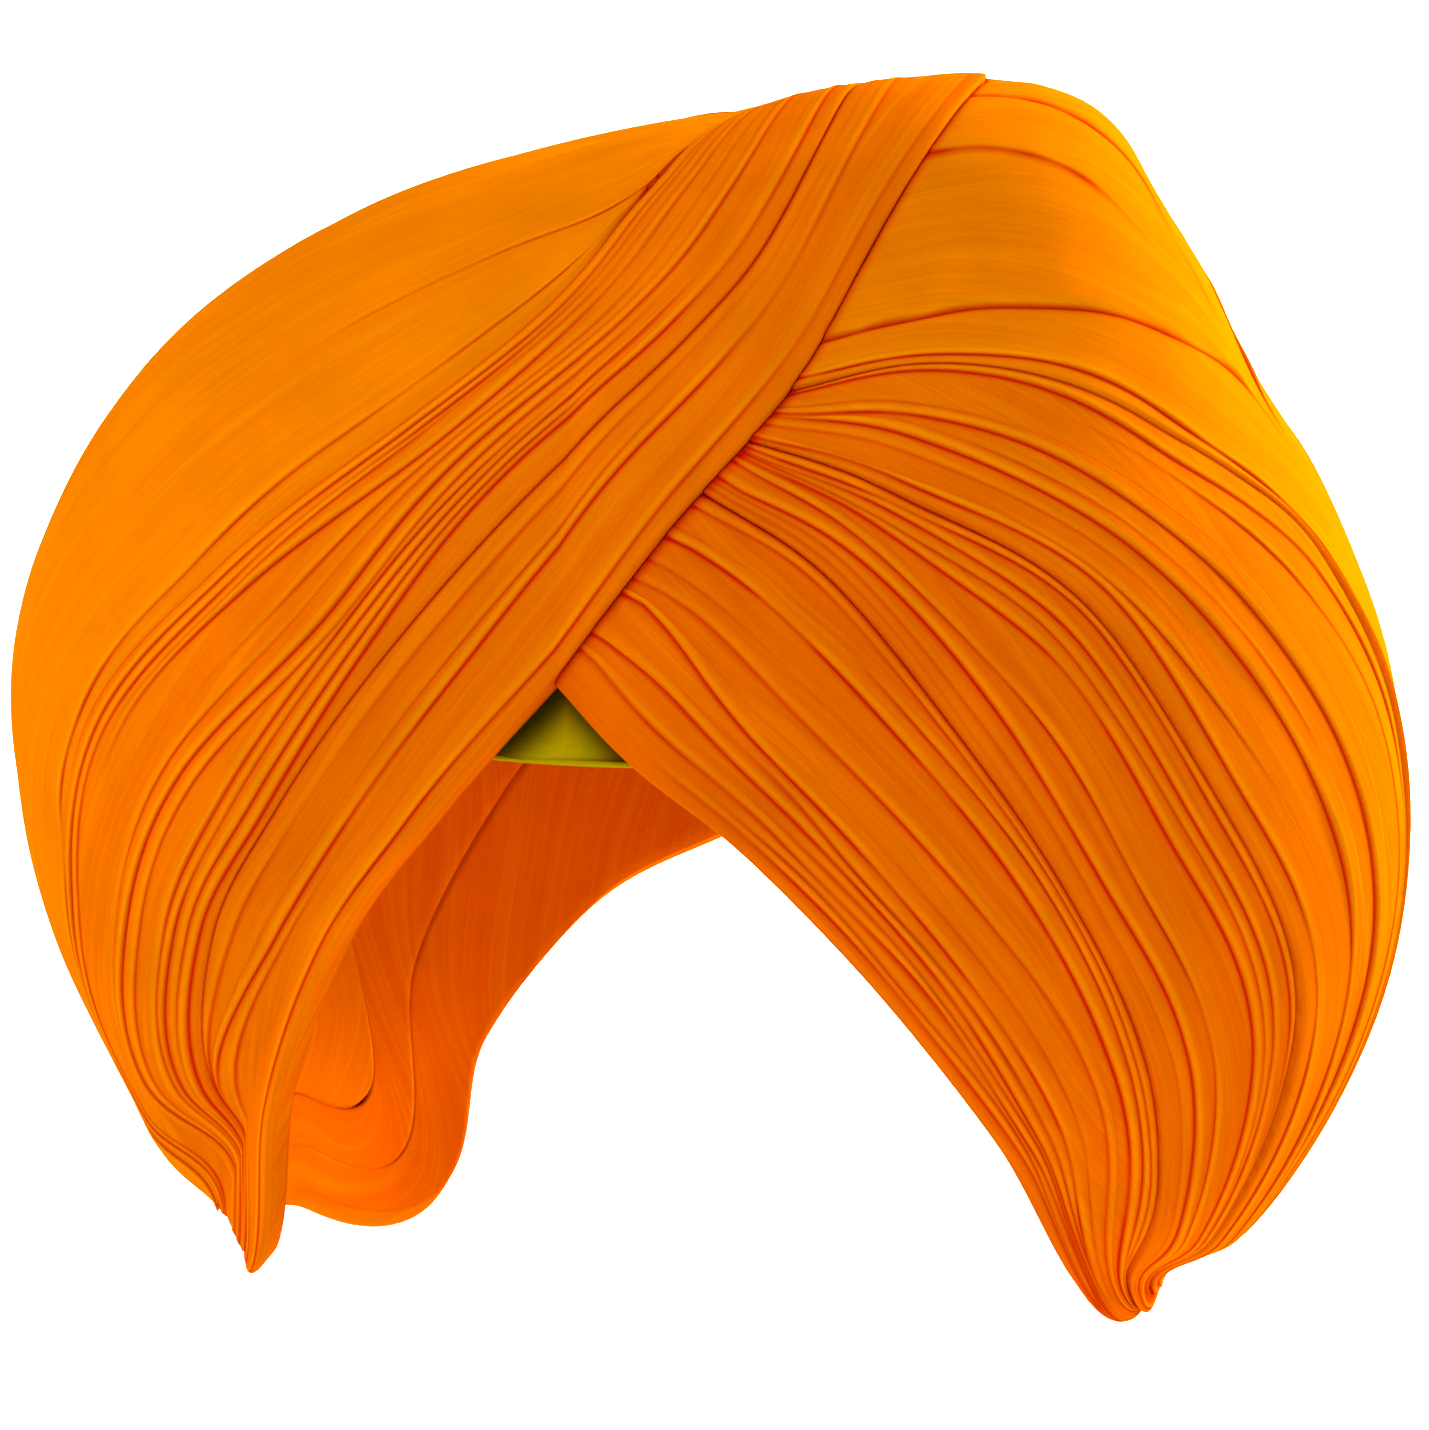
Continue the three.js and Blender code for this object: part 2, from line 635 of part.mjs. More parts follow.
/** The under-cloth: a thin plain band round the head. */
function underCloth() {
  const { lower, upper, turns, rows } = UNDER_CLOTH;
  const sections = [];
  for (let n = 0; n < turns; n += 1) {
    const azimuth = 360 * n / turns;
    const inner = [];
    const outer = [];
    for (let k = 0; k < rows; k += 1) {
      const dir = direction({ azimuth, elevation: lower + (upper - lower) * k / (rows - 1) });
      const radius = headRadius(dir);
      inner.unshift(dir.clone().multiplyScalar(radius));
      outer.push(dir.clone().multiplyScalar(radius + UNDER_CLOTH_WALL));
    }
    sections.push([...outer, ...inner]);
  }
  return solidThrough(sections, true);
}

const turban = new THREE.Group();
turban.name = 'tied_turban';

/** Adds one named piece with its own material. */
function add(name, geometry, color) {
  const material = new THREE.MeshStandardMaterial({ color, roughness: CLOTH_ROUGHNESS, metalness: 0 });
  const mesh = new THREE.Mesh(geometry, material);
  mesh.name = name;
  turban.add(mesh);
}

add('under_cloth', underCloth(), UNDER_CLOTH_COLOR);
LEFT_LAPS.forEach((lap) => add(lap.name, leftLap(lap), lap.shade));
SPREADS.forEach((piece) => add(piece.name, spread(piece), piece.shade));
HOOP_LAPS.forEach((lap) => add(lap.name, hoopLap(lap), lap.shade));

export default turban;
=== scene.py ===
"""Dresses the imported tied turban: laps of pleated cotton voile wound over a thin olive under-cloth.

Shapes are drawn in directions from the head centre, as in the part: azimuth from the front towards
+X (the wearer's left), elevation up from level, both in degrees. Lengths are in millimetres until a
mesh is made, and meshes are in metres.
"""
import logging
import math
from abc import ABC, abstractmethod
from dataclasses import dataclass, field, replace
from enum import Enum
from typing import Any, Callable, Sequence

import bpy
import numpy as np
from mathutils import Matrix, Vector


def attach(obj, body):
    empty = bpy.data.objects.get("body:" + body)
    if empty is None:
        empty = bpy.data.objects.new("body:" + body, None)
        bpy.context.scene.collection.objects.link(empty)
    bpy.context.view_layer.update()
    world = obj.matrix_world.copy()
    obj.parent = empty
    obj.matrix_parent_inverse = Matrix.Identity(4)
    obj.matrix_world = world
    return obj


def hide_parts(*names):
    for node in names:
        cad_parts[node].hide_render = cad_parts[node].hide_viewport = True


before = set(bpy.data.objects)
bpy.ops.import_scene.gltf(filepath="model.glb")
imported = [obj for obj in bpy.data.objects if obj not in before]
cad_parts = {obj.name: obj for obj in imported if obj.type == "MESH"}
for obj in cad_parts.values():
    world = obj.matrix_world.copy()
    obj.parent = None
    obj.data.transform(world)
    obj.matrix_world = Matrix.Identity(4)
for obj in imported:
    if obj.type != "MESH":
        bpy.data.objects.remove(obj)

Array = np.ndarray
Station = tuple[float, float] | dict[str, float]

MM = 0.001
LOG = logging.getLogger("turban")


# Small helpers


def smooth(value: Array | float) -> Array:
    """Eased ramp from 0 to 1."""
    x = np.clip(value, 0.0, 1.0)
    return x * x * (3.0 - 2.0 * x)


def unit(points: Array) -> Array:
    """Vectors scaled to length one."""
    return points / np.linalg.norm(points, axis=-1, keepdims=True)


def direction(azimuth: Array | float, elevation: Array | float) -> Array:
    """Unit direction from the head centre.

    Args:
        azimuth: Degrees from the front towards +X.
        elevation: Degrees up from level.

    Returns:
        Directions with a last axis of three.
    """
    a, e = np.broadcast_arrays(np.radians(azimuth), np.radians(elevation))
    return np.stack([np.cos(e) * np.sin(a), -np.cos(e) * np.cos(a), np.sin(e)], axis=-1)


def angles_of(dirs: Array) -> tuple[Array, Array]:
    """Azimuth and elevation of directions in degrees.

    Args:
        dirs: Directions with a last axis of three.

    Returns:
        Azimuths and elevations.
    """
    level = np.hypot(dirs[..., 0], dirs[..., 1])
    azimuth = np.degrees(np.arctan2(dirs[..., 0], -dirs[..., 1]))
    return azimuth, np.degrees(np.arctan2(dirs[..., 2], level))


def at(azimuth: float, elevation: float) -> dict[str, float]:
    """A station given by its angles."""
    return {"azimuth": azimuth, "elevation": elevation}


def srgb(code: str) -> tuple[float, float, float, float]:
    """Linear colour of an sRGB hex code.

    Args:
        code: Six hex digits.

    Returns:
        Linear red, green, blue and an alpha of one.
    """
    parts = [int(code[i:i + 2], 16) / 255 for i in (0, 2, 4)]
    linear = [c / 12.92 if c <= 0.04045 else ((c + 0.055) / 1.055) ** 2.4 for c in parts]
    return linear[0], linear[1], linear[2], 1.0


def blend(points: Sequence[Array], share: Array) -> Array:
    """Cubic blend of four neighbouring points.

    Args:
        points: Four arrays of points.
        share: Place between the second and the third.

    Returns:
        The blended points.
    """
    f = share[..., None]
    f2, f3 = f * f, f * f * f
    p0, p1, p2, p3 = points
    return 0.5 * (
        p0 * (-f + 2 * f2 - f3)
        + p1 * (2 - 5 * f2 + 3 * f3)
        + p2 * (f + 4 * f2 - 3 * f3)
        + p3 * (-f2 + f3)
    )


def closed_curve(points: Array, t: Array) -> Array:
    """Smooth closed curve through points at whole values of t.

    Args:
        points: Points round the curve, one row each.
        t: Place on the curve.

    Returns:
        Points of t's shape.
    """
    count = len(points)
    i = np.floor(t).astype(int)
    return blend([points[(i + k) % count] for k in (-1, 0, 1, 2)], t - i)


def across_rows(rows: Array, t: Array) -> Array:
    """Smooth open curve through rows of points, carried straight on past its ends.

    Args:
        rows: Points with the rows on the first axis.
        t: Place among the rows, a whole number on each row.

    Returns:
        Points of t's shape.
    """
    ends = [2 * rows[:1] - rows[1:2], rows, 2 * rows[-1:] - rows[-2:-1]]
    padded = np.concatenate(ends)
    i = np.clip(np.floor(t).astype(int), 0, len(rows) - 2)

    def pick(k: int) -> Array:
        """The k-th neighbour of every point."""
        index = np.broadcast_to((i + k)[None, ..., None], (1, *i.shape, 3))
        return np.take_along_axis(padded, index, axis=0)[0]

    return blend([pick(k) for k in range(4)], t - i)


def open_curve(points: Array, t: Array) -> Array:
    """Smooth open curve through points at whole values of t."""
    rows = np.broadcast_to(points.reshape(len(points), *[1] * t.ndim, 3), (len(points), *t.shape, 3))
    return across_rows(rows, t)


class SmoothTable:
    """A smooth curve through one column of a short table."""

    def __init__(self, keys: Sequence[float], values: Sequence[float]) -> None:
        """Keeps the rows and their slopes.

        Args:
            keys: First column, rising.
            values: Column that the curve goes through.
        """
        self.keys = np.asarray(keys, float)
        self.values = np.asarray(values, float)
        order = np.arange(len(self.keys))
        low = np.maximum(order - 1, 0)
        high = np.minimum(order + 1, len(order) - 1)
        self.slopes = (self.values[high] - self.values[low]) / (self.keys[high] - self.keys[low])

    def __call__(self, where: Array | float) -> Array:
        """Values between the rows, held at the ends.

        Args:
            where: Places on the first column.

        Returns:
            Values of the curve.
        """
        x = np.clip(where, self.keys[0], self.keys[-1])
        i = np.clip(np.searchsorted(self.keys, x, side="right") - 1, 0, len(self.keys) - 2)
        span = self.keys[i + 1] - self.keys[i]
        f = (x - self.keys[i]) / span
        h = f * f * (3 - 2 * f)
        rise = self.slopes[i] * f * (1 - f) ** 2 - self.slopes[i + 1] * f * f * (1 - f)
        return self.values[i] * (1 - h) + self.values[i + 1] * h + span * rise


class Ripple:
    """Seeded sum of waves, the same in every run."""

    def __init__(self, seed: int, waves: int, longest: int) -> None:
        """Draws the waves.

        Args:
            seed: Seed of this ripple.
            waves: How many waves are added.
            longest: Most whole periods along the strip.
        """
        rng = np.random.default_rng(seed)
        self.periods = rng.integers(1, longest + 1, waves)
        self.phases = rng.uniform(0, 2 * math.pi, waves)
        self.across = rng.uniform(-1, 1, waves)
        self.scale = math.sqrt(2 / waves)

    def along(self, turn: Array) -> Array:
        """Values of about -1 to 1 along a strip, turn going from 0 to 1."""
        angle = 2 * math.pi * turn[..., None] * self.periods + self.phases
        return self.scale * np.sin(angle).sum(-1)

    def over(self, turn: Array, across: Array, pitch: float) -> Array:
        """Values over a strip, with waves of about the pitch across it."""
        angle = 2 * math.pi * (turn[..., None] * self.periods + across[..., None] / pitch * self.across)
        return self.scale * np.sin(angle + self.phases).sum(-1)


# The wound form


@dataclass(frozen=True)
class HeadHollow:
    """The open hollow: an upright elliptic tube below the brow, a dome above it."""

    half_width: float = 77.0
    half_length: float = 98.0
    dome_height: float = 84.0

    def radius(self, dirs: Array) -> Array:
        """Radius of the hollow in each direction.

        Args:
            dirs: Unit directions.

        Returns:
            Radii in millimetres.
        """
        level = (dirs[..., 0] / self.half_width) ** 2 + (dirs[..., 1] / self.half_length) ** 2
        dome = np.where(dirs[..., 2] > 0, (dirs[..., 2] / self.dome_height) ** 2, 0.0)
        return 1.0 / np.sqrt(level + dome)


# Outer radius by elevation. Columns: elevation, front, left, back, right.
FORM_ROWS = (
    (-60, 118, 134, 132, 134),
    (-40, 116, 133, 134, 130),
    (-20, 114, 129, 136, 129),
    (0, 113, 122, 136, 129.5),
    (15, 115, 115.5, 134, 126),
    (30, 118, 112.5, 130, 120.5),
    (45, 119, 121, 125, 113),
    (58, 117, 131, 118, 107.5),
    (72, 111.5, 122, 109, 104.5),
    (90, 107, 107, 107, 107),
)

# Face edge. Columns: azimuth away from the front, elevation of the edge, rise to the full form.
RIM_ROWS = (
    (0, 13.5, 32),
    (20, -6.3, 30),
    (40, -26.5, 24),
    (60, -43, 14),
    (77, -51, 9),
    (112, -51, 9),
)


@dataclass(frozen=True)
class WoundForm:
    """The outside of the whole wrap, and the lines on which its back repeats its front."""

    hollow: HeadHollow = HeadHollow()
    under_cloth_wall: float = 1.5
    seat_gap: float = 0.8
    rim_wall_side: float = 5.5
    rim_wall_extra: float = 2.0
    left_side_line: float = 112.0
    right_side_line: float = -90.0
    nape_drop: float = 34.5
    nape_reach: float = 77.0
    nape_power: float = 2.0
    nape_height: float = 45.0
    sheet_azimuth: float = 15.0
    sheet_elevation: float = 12.0
    sheet_reach: float = 240.0
    sides: tuple[SmoothTable, ...] = tuple(
        SmoothTable([r[0] for r in FORM_ROWS], [r[c] for r in FORM_ROWS]) for c in range(1, 5)
    )
    rim: SmoothTable = SmoothTable([r[0] for r in RIM_ROWS], [r[1] for r in RIM_ROWS])
    rise: SmoothTable = SmoothTable([r[0] for r in RIM_ROWS], [r[2] for r in RIM_ROWS])

    def inner_radius(self, dirs: Array) -> Array:
        """Radius of the laps' inside, just clear of the under-cloth."""
        return self.hollow.radius(dirs) + self.under_cloth_wall + self.seat_gap

    def folded(self, azimuth: Array) -> tuple[Array, Array]:
        """Front azimuth that each azimuth repeats, and whether it lies at the back.

        Args:
            azimuth: Azimuths in degrees.

        Returns:
            Front azimuths, and true where the place is at the back.
        """
        left, right = azimuth > self.left_side_line, azimuth < self.right_side_line
        squeeze = self.left_side_line / (180 - self.left_side_line)
        front = np.where(left, (180 - azimuth) * squeeze, np.where(right, -180 - azimuth, azimuth))
        return front, left | right

    def drop(self, front: Array) -> Array:
        """How much lower the back lies at a front azimuth."""
        return self.nape_drop * np.maximum(0, 1 - np.abs(front) / self.nape_reach) ** self.nape_power

    def rim_elevation(self, azimuth: Array) -> Array:
        """Elevation of the lower edge."""
        front, back = self.folded(azimuth)
        return self.rim(np.abs(front)) - np.where(back, self.drop(front), 0.0)

    def outer_radius(self, dirs: Array) -> Array:
        """Radius of the outside, thin along the lower edge.

        Args:
            dirs: Unit directions.

        Returns:
            Radii in millimetres.
        """
        azimuth, elevation = angles_of(dirs)
        a = np.radians(azimuth)
        front, left, back, right = (side(elevation) for side in self.sides)
        full = (front + left + back + right) / 4 + (front - back) / 2 * np.cos(a)
        full = full + (left - right) / 2 * np.sin(a) + (front + back - left - right) / 4 * np.cos(2 * a)
        edge = self.inner_radius(dirs) + self.rim_wall_side + self.rim_wall_extra * np.cos(a) ** 2
        reach = self.rise(np.abs(self.folded(azimuth)[0]))
        share = np.clip((elevation - self.rim_elevation(azimuth)) / reach, 0, 1)
        return edge + np.maximum(0, full - edge) * (1 - (1 - share) ** 2)

    def sheet_axes(self) -> tuple[Array, Array, Array]:
        """Right, up and near axes of the three-quarter elevation that the lines are measured on.

        Returns:
            Three unit axes.
        """
        a, e = math.radians(self.sheet_azimuth), math.radians(self.sheet_elevation)
        right = np.array([math.cos(a), math.sin(a), 0.0])
        up = np.array([-math.sin(a) * math.sin(e), math.cos(a) * math.sin(e), math.cos(e)])
        return right, up, direction(self.sheet_azimuth, self.sheet_elevation)

    def from_sheet(self, station: Station) -> Array:
        """Direction of a station, given by its angles or drawn on the elevation's near side.

        Args:
            station: Angles, or (across, up) in millimetres on the elevation.

        Returns:
            One unit direction.
        """
        if isinstance(station, dict):
            return direction(station["azimuth"], station["elevation"])
        right, up, near = self.sheet_axes()
        base = right * station[0] + up * station[1]

        def outside(reach: float) -> bool:
            """Whether the point at this reach is outside the form."""
            point = base + near * reach
            return bool(np.linalg.norm(point) > self.outer_radius(unit(point)))

        low, high = 0.0, self.sheet_reach
        if outside(low):
            return unit(base)
        while high - low > 1e-3:
            middle = (low + high) / 2
            low, high = (low, middle) if outside(middle) else (middle, high)
        return unit(base + near * low)

    def back_of(self, dirs: Array) -> Array:
        """Directions at the back that repeat directions of the front.

        Args:
            dirs: Unit directions of the front.

        Returns:
            Unit directions of the back.
        """
        azimuth, elevation = angles_of(dirs)
        share = np.where(azimuth < 0, 1.0, (180 - self.left_side_line) / self.left_side_line)
        above = (elevation - self.rim_elevation(azimuth)) / self.nape_height
        fall = self.drop(azimuth) * np.clip(1 - above, 0, 1)
        return direction(180 - share * azimuth, elevation - fall)


# Hoop lines. Columns: stations from the ear to the crown as (across, up) in mm on the elevation, or as
# angles where they lie round the side; then the ear and the crown.
HOOP_LINES: tuple[tuple[tuple[Station, ...], Station, Station], ...] = (
    (
        ((-81.5, -102.5), (-79, -74.6), (-67.5, -43.7), (-50.2, -20.9),
         (-28.4, 3.6), (-7.5, 30.6), (15.3, 57.1), (29.7, 82.3)),
        at(-90, -50.5),
        at(112, 66),
    ),
    (
        (at(-58, -47), (-92.1, -70.1), (-92.5, -40.9), (-80.8, -17.3),
         (-58.4, 12.7), (-32, 40.9), (-4.7, 67.3), (12.6, 90.1)),
        at(-90, -47.5),
        at(112, 77.5),
    ),
    (
        (at(-64, -44.5), at(-70, -27.5), (-116.5, -31.8), (-112.1, -1.8),
         (-89.4, 23.7), (-55.7, 50), (-27.5, 72.8), (-12, 91.9)),
        at(-90, -44.5),
        at(112, 89),
    ),
)

# Left lines. Columns: hoop station where the line leaves the hoop, then stations down to the ear.
LEFT_LINES: tuple[tuple[float, tuple[Station, ...]], ...] = (
    (5, ((-13.8, -11.5), (7.1, -28.2), (31.7, -53.7), (55.3, -83.7), (72.3, -112.1))),
    (5.93, ((13.5, 15.5), (36.2, -8.2), (56.2, -32.8), (72.6, -67.3), at(80, -50.8))),
    (6.45, ((26.2, 26), (50.8, -2.7), (70.8, -33.7), (85.4, -64.6), at(86, -51.5))),
    (6.64, ((35.3, 37.3), (67.2, 19.1), (90.8, -14.6), (106.3, -53.7), at(89.5, -50.5))),
    (6.82, ((38.9, 48.2), (75.3, 29.1), (102.6, -3.6), (115, -46.4), at(92, -47.5))),
    (7, ((44.4, 61.3), (80.8, 51), (109.9, 30), (126.3, -17.3), at(93.5, -43.5))),
)


class HoopFamily:
    """The slanting hoop of the right side: ear, front, crown, back and round again."""

    apex = 5.0
    count = 18

    def __init__(self, form: WoundForm) -> None:
        """Sets the hoop's lines on the form.

        Args:
            form: The wound form.
        """
        self.rings = []
        for stations, ear, crown in HOOP_LINES:
            front = np.array([form.from_sheet(s) for s in stations])
            back = form.back_of(front)[::-1]
            ends = [form.from_sheet(ear)[None], front, form.from_sheet(crown)[None], back]
            self.rings.append(np.concatenate(ends))

    def toward(self, station: Array | float, across: Array | float) -> Array:
        """Directions at stations round the hoop and places across it.

        Args:
            station: Stations round the hoop.
            across: Places from its edge, 0, to its upper line, 1.

        Returns:
            Unit directions.
        """
        s, v = np.broadcast_arrays(np.asarray(station, float), np.asarray(across, float))
        rows = np.stack([closed_curve(ring, s) for ring in self.rings])
        return unit(across_rows(rows, v * (len(self.rings) - 1)))


class LeftFamily:
    """The laps of the left side: out from under the hoop, down to the ear and on round the back."""

    last = 12.0
    ear = 6.0
    ear_azimuth = 112.0
    ear_lower = -51.5
    ear_upper = -43.0

    def __init__(self, form: WoundForm, hoop: HoopFamily) -> None:
        """Sets the left lines on the form, their ends on the hoop's edge.

        Args:
            form: The wound form.
            hoop: The hoop that the laps come out from under.
        """
        self.hoop = hoop
        self.runs = []
        shares = np.linspace(0, 1, len(LEFT_LINES))
        for share, (leaves, stations) in zip(shares, LEFT_LINES):
            front = np.array([form.from_sheet(s) for s in stations])
            back = form.back_of(front)[::-1]
            ear = direction(self.ear_azimuth, self.ear_lower + (self.ear_upper - self.ear_lower) * share)
            ends = [hoop.toward(leaves, 0)[None], hoop.toward(hoop.count - leaves, 0)[None]]
            self.runs.append(np.concatenate([ends[0], front, ear[None], back, ends[1]]))
        self.leaves = SmoothTable(shares, [row[0] for row in LEFT_LINES])

    def lattice(self, station: Array, across: Array) -> Array:
        """Points of the plain lattice before its ends are bowed."""
        rows = np.stack([open_curve(run, station) for run in self.runs])
        return across_rows(rows, across * (len(self.runs) - 1))

    def toward(self, station: Array | float, across: Array | float) -> Array:
        """Directions at stations along the laps and places across them; ends follow the hoop's edge.

        Args:
            station: Stations along the laps.
            across: Places from the face edge, 0, to the upper line, 1.

        Returns:
            Unit directions.
        """
        s, v = np.broadcast_arrays(np.asarray(station, float), np.asarray(across, float))
        front = s < self.ear
        leaves = self.leaves(v)
        edge = self.hoop.toward(np.where(front, leaves, self.hoop.count - leaves), 0)
        bow = edge - self.lattice(np.where(front, 0.0, self.last), v)
        reach = np.clip(1 - np.minimum(s, self.last - s), 0, 1) ** 2
        return unit(self.lattice(s, v) + bow * reach[..., None])


@dataclass(frozen=True)
class SpreadLines:
    """The four edges of a spread, each as directions along it."""

    front: Callable[[Array], Array]
    back: Callable[[Array], Array]
    ear_edge: Callable[[Array], Array]
    crown_edge: Callable[[Array], Array]
    bow: float = 3.0

    def toward(self, along: Array | float, across: Array | float) -> Array:
        """Directions between the edges: along from the ear to the crown, across from front to back.

        Args:
            along: Places from the ear, 0, to the crown, 1.
            across: Places from the front, 0, to the back, 1.

        Returns:
            Unit directions.
        """
        t, c = np.broadcast_arrays(np.asarray(along, float), np.asarray(across, float))
        share = c[..., None]
        zero = np.zeros_like(t)

        def chord(where: Array) -> Array:
            """Straight line from the front to the back edge."""
            return self.front(where) * (1 - share) + self.back(where) * share

        ear = (self.ear_edge(c) - chord(zero)) * ((1 - t) ** self.bow)[..., None]
        crown = (self.crown_edge(c) - chord(zero + 1)) * (t ** self.bow)[..., None]
        return unit(chord(t) + ear + crown)


# Folds


class FoldKind(Enum):
    """How a fold lies. Values in mm: rise of its edge, run-out above it, run-out below it."""

    CREASE = (0.35, 4.5, 0.9)
    TUCK = (0.45, 9.0, 2.4)
    DRAPE = (5.0, 9.0, 9.0)


@dataclass(frozen=True)
class Fold:
    """One fold line: its place across at the family's key stations, its depth in mm and its kind."""

    places: tuple[float, ...]
    depth: float
    kind: FoldKind = FoldKind.CREASE
    reach: tuple[float, float] = (-9.0, 99.0)


LEFT_KEYS = (0.2, 1.0, 2.0, 3.0, 4.0, 6.0)
LEFT_FOLDS = (
    Fold((0.02, 0.02, 0.02, 0.02, 0.02, 0.02), 0.5, reach=(1.4, 99)),
    Fold((0.034, 0.031, 0.029, 0.03, 0.03, 0.032), 0.35, reach=(1.8, 99)),
    Fold((0.055, 0.044, 0.039, 0.041, 0.041, 0.045), 0.55),
    Fold((0.065, 0.056, 0.05, 0.05, 0.05, 0.055), 0.4, reach=(2, 99)),
    Fold((0.08, 0.07, 0.062, 0.06, 0.061, 0.066), 0.85),
    Fold((0.105, 0.085, 0.075, 0.072, 0.075, 0.08), 0.4, reach=(1.5, 99)),
    Fold((0.13, 0.1, 0.09, 0.086, 0.09, 0.096), 0.7),
    Fold((0.15, 0.14, 0.135, 0.14, 0.165, 0.16), 0.4, FoldKind.TUCK),
    Fold((0.22, 0.2, 0.2, 0.2, 0.215, 0.21), 1.0),
    Fold((0.237, 0.23, 0.24, 0.248, 0.254, 0.25), 0.6, reach=(1.7, 99)),
    Fold((0.29, 0.288, 0.285, 0.285, 0.285, 0.285), 0.4),
    Fold((0.37, 0.405, 0.415, 0.41, 0.41, 0.41), 1.1, FoldKind.TUCK),
    Fold((0.43, 0.442, 0.452, 0.452, 0.446, 0.45), 0.55),
    Fold((0.475, 0.49, 0.508, 0.514, 0.514, 0.505), 1.1, FoldKind.TUCK),
    Fold((0.5, 0.515, 0.53, 0.532, 0.53, 0.525), 0.4),
    Fold((0.525, 0.545, 0.553, 0.55, 0.546, 0.548), 0.7),
    Fold((0.556, 0.575, 0.582, 0.583, 0.583, 0.577), 0.7),
    Fold((0.62, 0.63, 0.64, 0.64, 0.65, 0.645), 0.7),
    Fold((0.64, 0.65, 0.668, 0.72, 0.76, 0.75), 0.8, FoldKind.TUCK, (1.8, 2.9)),
    Fold((0.78, 0.783, 0.8, 0.81, 0.81, 0.79), 1.3, FoldKind.TUCK),
    Fold((0.8, 0.815, 0.83, 0.835, 0.835, 0.82), 0.5, reach=(1.3, 3.2)),
    Fold((0.825, 0.85, 0.87, 0.866, 0.866, 0.85), 1.2, FoldKind.TUCK),
    Fold((0.92, 0.93, 0.94, 0.94, 0.945, 0.94), 0.4, reach=(1.8, 99)),
    Fold((0.965, 0.975, 0.97, 0.97, 0.978, 0.97), 0.8),
)

HOOP_KEYS = (0.0, 2.0, 3.0, 4.0, 5.0, 6.0, 7.0, 9.0)
HOOP_FOLDS = (
    Fold((0.24, 0.35, 0.2, 0.19, 0.19, 0.2, 0.2, 0.2), 0.5, reach=(-9, 3.2)),
    Fold((0.3, 0.42, 0.24, 0.235, 0.24, 0.26, 0.28, 0.3), 1.0, FoldKind.TUCK),
    Fold((0.33, 0.43, 0.29, 0.285, 0.29, 0.297, 0.31, 0.33), 0.35, reach=(4.4, 6.6)),
    Fold((0.38, 0.44, 0.385, 0.38, 0.385, 0.385, 0.39, 0.39), 0.35),
    Fold((0.475, 0.48, 0.475, 0.47, 0.5, 0.55, 0.53, 0.52), 1.3),
    Fold((0.505, 0.52, 0.51, 0.505, 0.53, 0.575, 0.56, 0.55), 0.8, reach=(-9, 6.4)),
    Fold((0.535, 0.55, 0.55, 0.545, 0.558, 0.6, 0.59, 0.58), 0.8, reach=(-9, 7.2)),
    Fold((0.56, 0.572, 0.578, 0.572, 0.585, 0.625, 0.615, 0.605), 0.7, reach=(-9, 6.2)),
    Fold((0.63, 0.64, 0.65, 0.65, 0.608, 0.66, 0.65, 0.64), 0.6, reach=(-9, 7)),
    Fold((0.66, 0.685, 0.695, 0.69, 0.636, 0.7, 0.69, 0.67), 1.2),
    Fold((0.7, 0.72, 0.735, 0.735, 0.7, 0.74, 0.73, 0.72), 0.4),
    Fold((0.745, 0.765, 0.785, 0.79, 0.76, 0.78, 0.77, 0.76), 0.4, reach=(4.8, 99)),
    Fold((0.8, 0.83, 0.85, 0.88, 0.87, 0.825, 0.84, 0.82), 0.9, FoldKind.TUCK, (4.1, 99)),
    Fold((0.85, 0.88, 0.885, 0.9, 0.895, 0.89, 0.88, 0.87), 0.5, reach=(4.4, 99)),
    Fold((0.9, 0.91, 0.92, 0.925, 0.925, 0.92, 0.915, 0.91), 0.6),
    Fold((0.94, 0.95, 0.955, 0.952, 0.955, 0.952, 0.945, 0.94), 1.0),
)

SPREAD_KEYS = (0.0, 0.4, 0.5, 0.6, 0.7, 0.8, 0.9, 1.0)
LEFT_SPREAD_FOLDS = (
    Fold((0.05, 0.045, 0.045, 0.045, 0.036, 0.018, 0.015, 0.015), 0.8),
    Fold((0.47, 0.468, 0.45, 0.3, 0.2, 0.135, 0.1, 0.095), 1.4, FoldKind.TUCK, (0.5, 99)),
    Fold((0.476, 0.474, 0.465, 0.37, 0.29, 0.262, 0.25, 0.24), 0.5, FoldKind.DRAPE, (0.6, 99)),
    Fold((0.482, 0.48, 0.475, 0.425, 0.375, 0.355, 0.35, 0.345), 0.55, FoldKind.TUCK, (0.74, 99)),
    Fold((0.488, 0.486, 0.483, 0.45, 0.415, 0.4, 0.395, 0.39), 0.5, FoldKind.DRAPE, (0.6, 99)),
    Fold((0.493, 0.492, 0.49, 0.472, 0.452, 0.44, 0.432, 0.425), 0.6, FoldKind.TUCK, (0.7, 99)),
)
RIGHT_SPREAD_FOLDS = (
    Fold((0.03, 0.03, 0.035, 0.04, 0.045, 0.05, 0.05, 0.05), 0.5),
    Fold((0.09, 0.09, 0.09, 0.09, 0.095, 0.1, 0.1, 0.1), 0.5, FoldKind.DRAPE),
    Fold((0.2, 0.2, 0.2, 0.2, 0.21, 0.2, 0.15, 0.12), 0.55, FoldKind.TUCK, (0.72, 99)),
    Fold((0.33, 0.33, 0.33, 0.33, 0.33, 0.33, 0.32, 0.3), 0.5, FoldKind.DRAPE),
    Fold((0.42, 0.42, 0.42, 0.42, 0.42, 0.42, 0.41, 0.4), 0.5, FoldKind.DRAPE),
)


# Cloth finishes


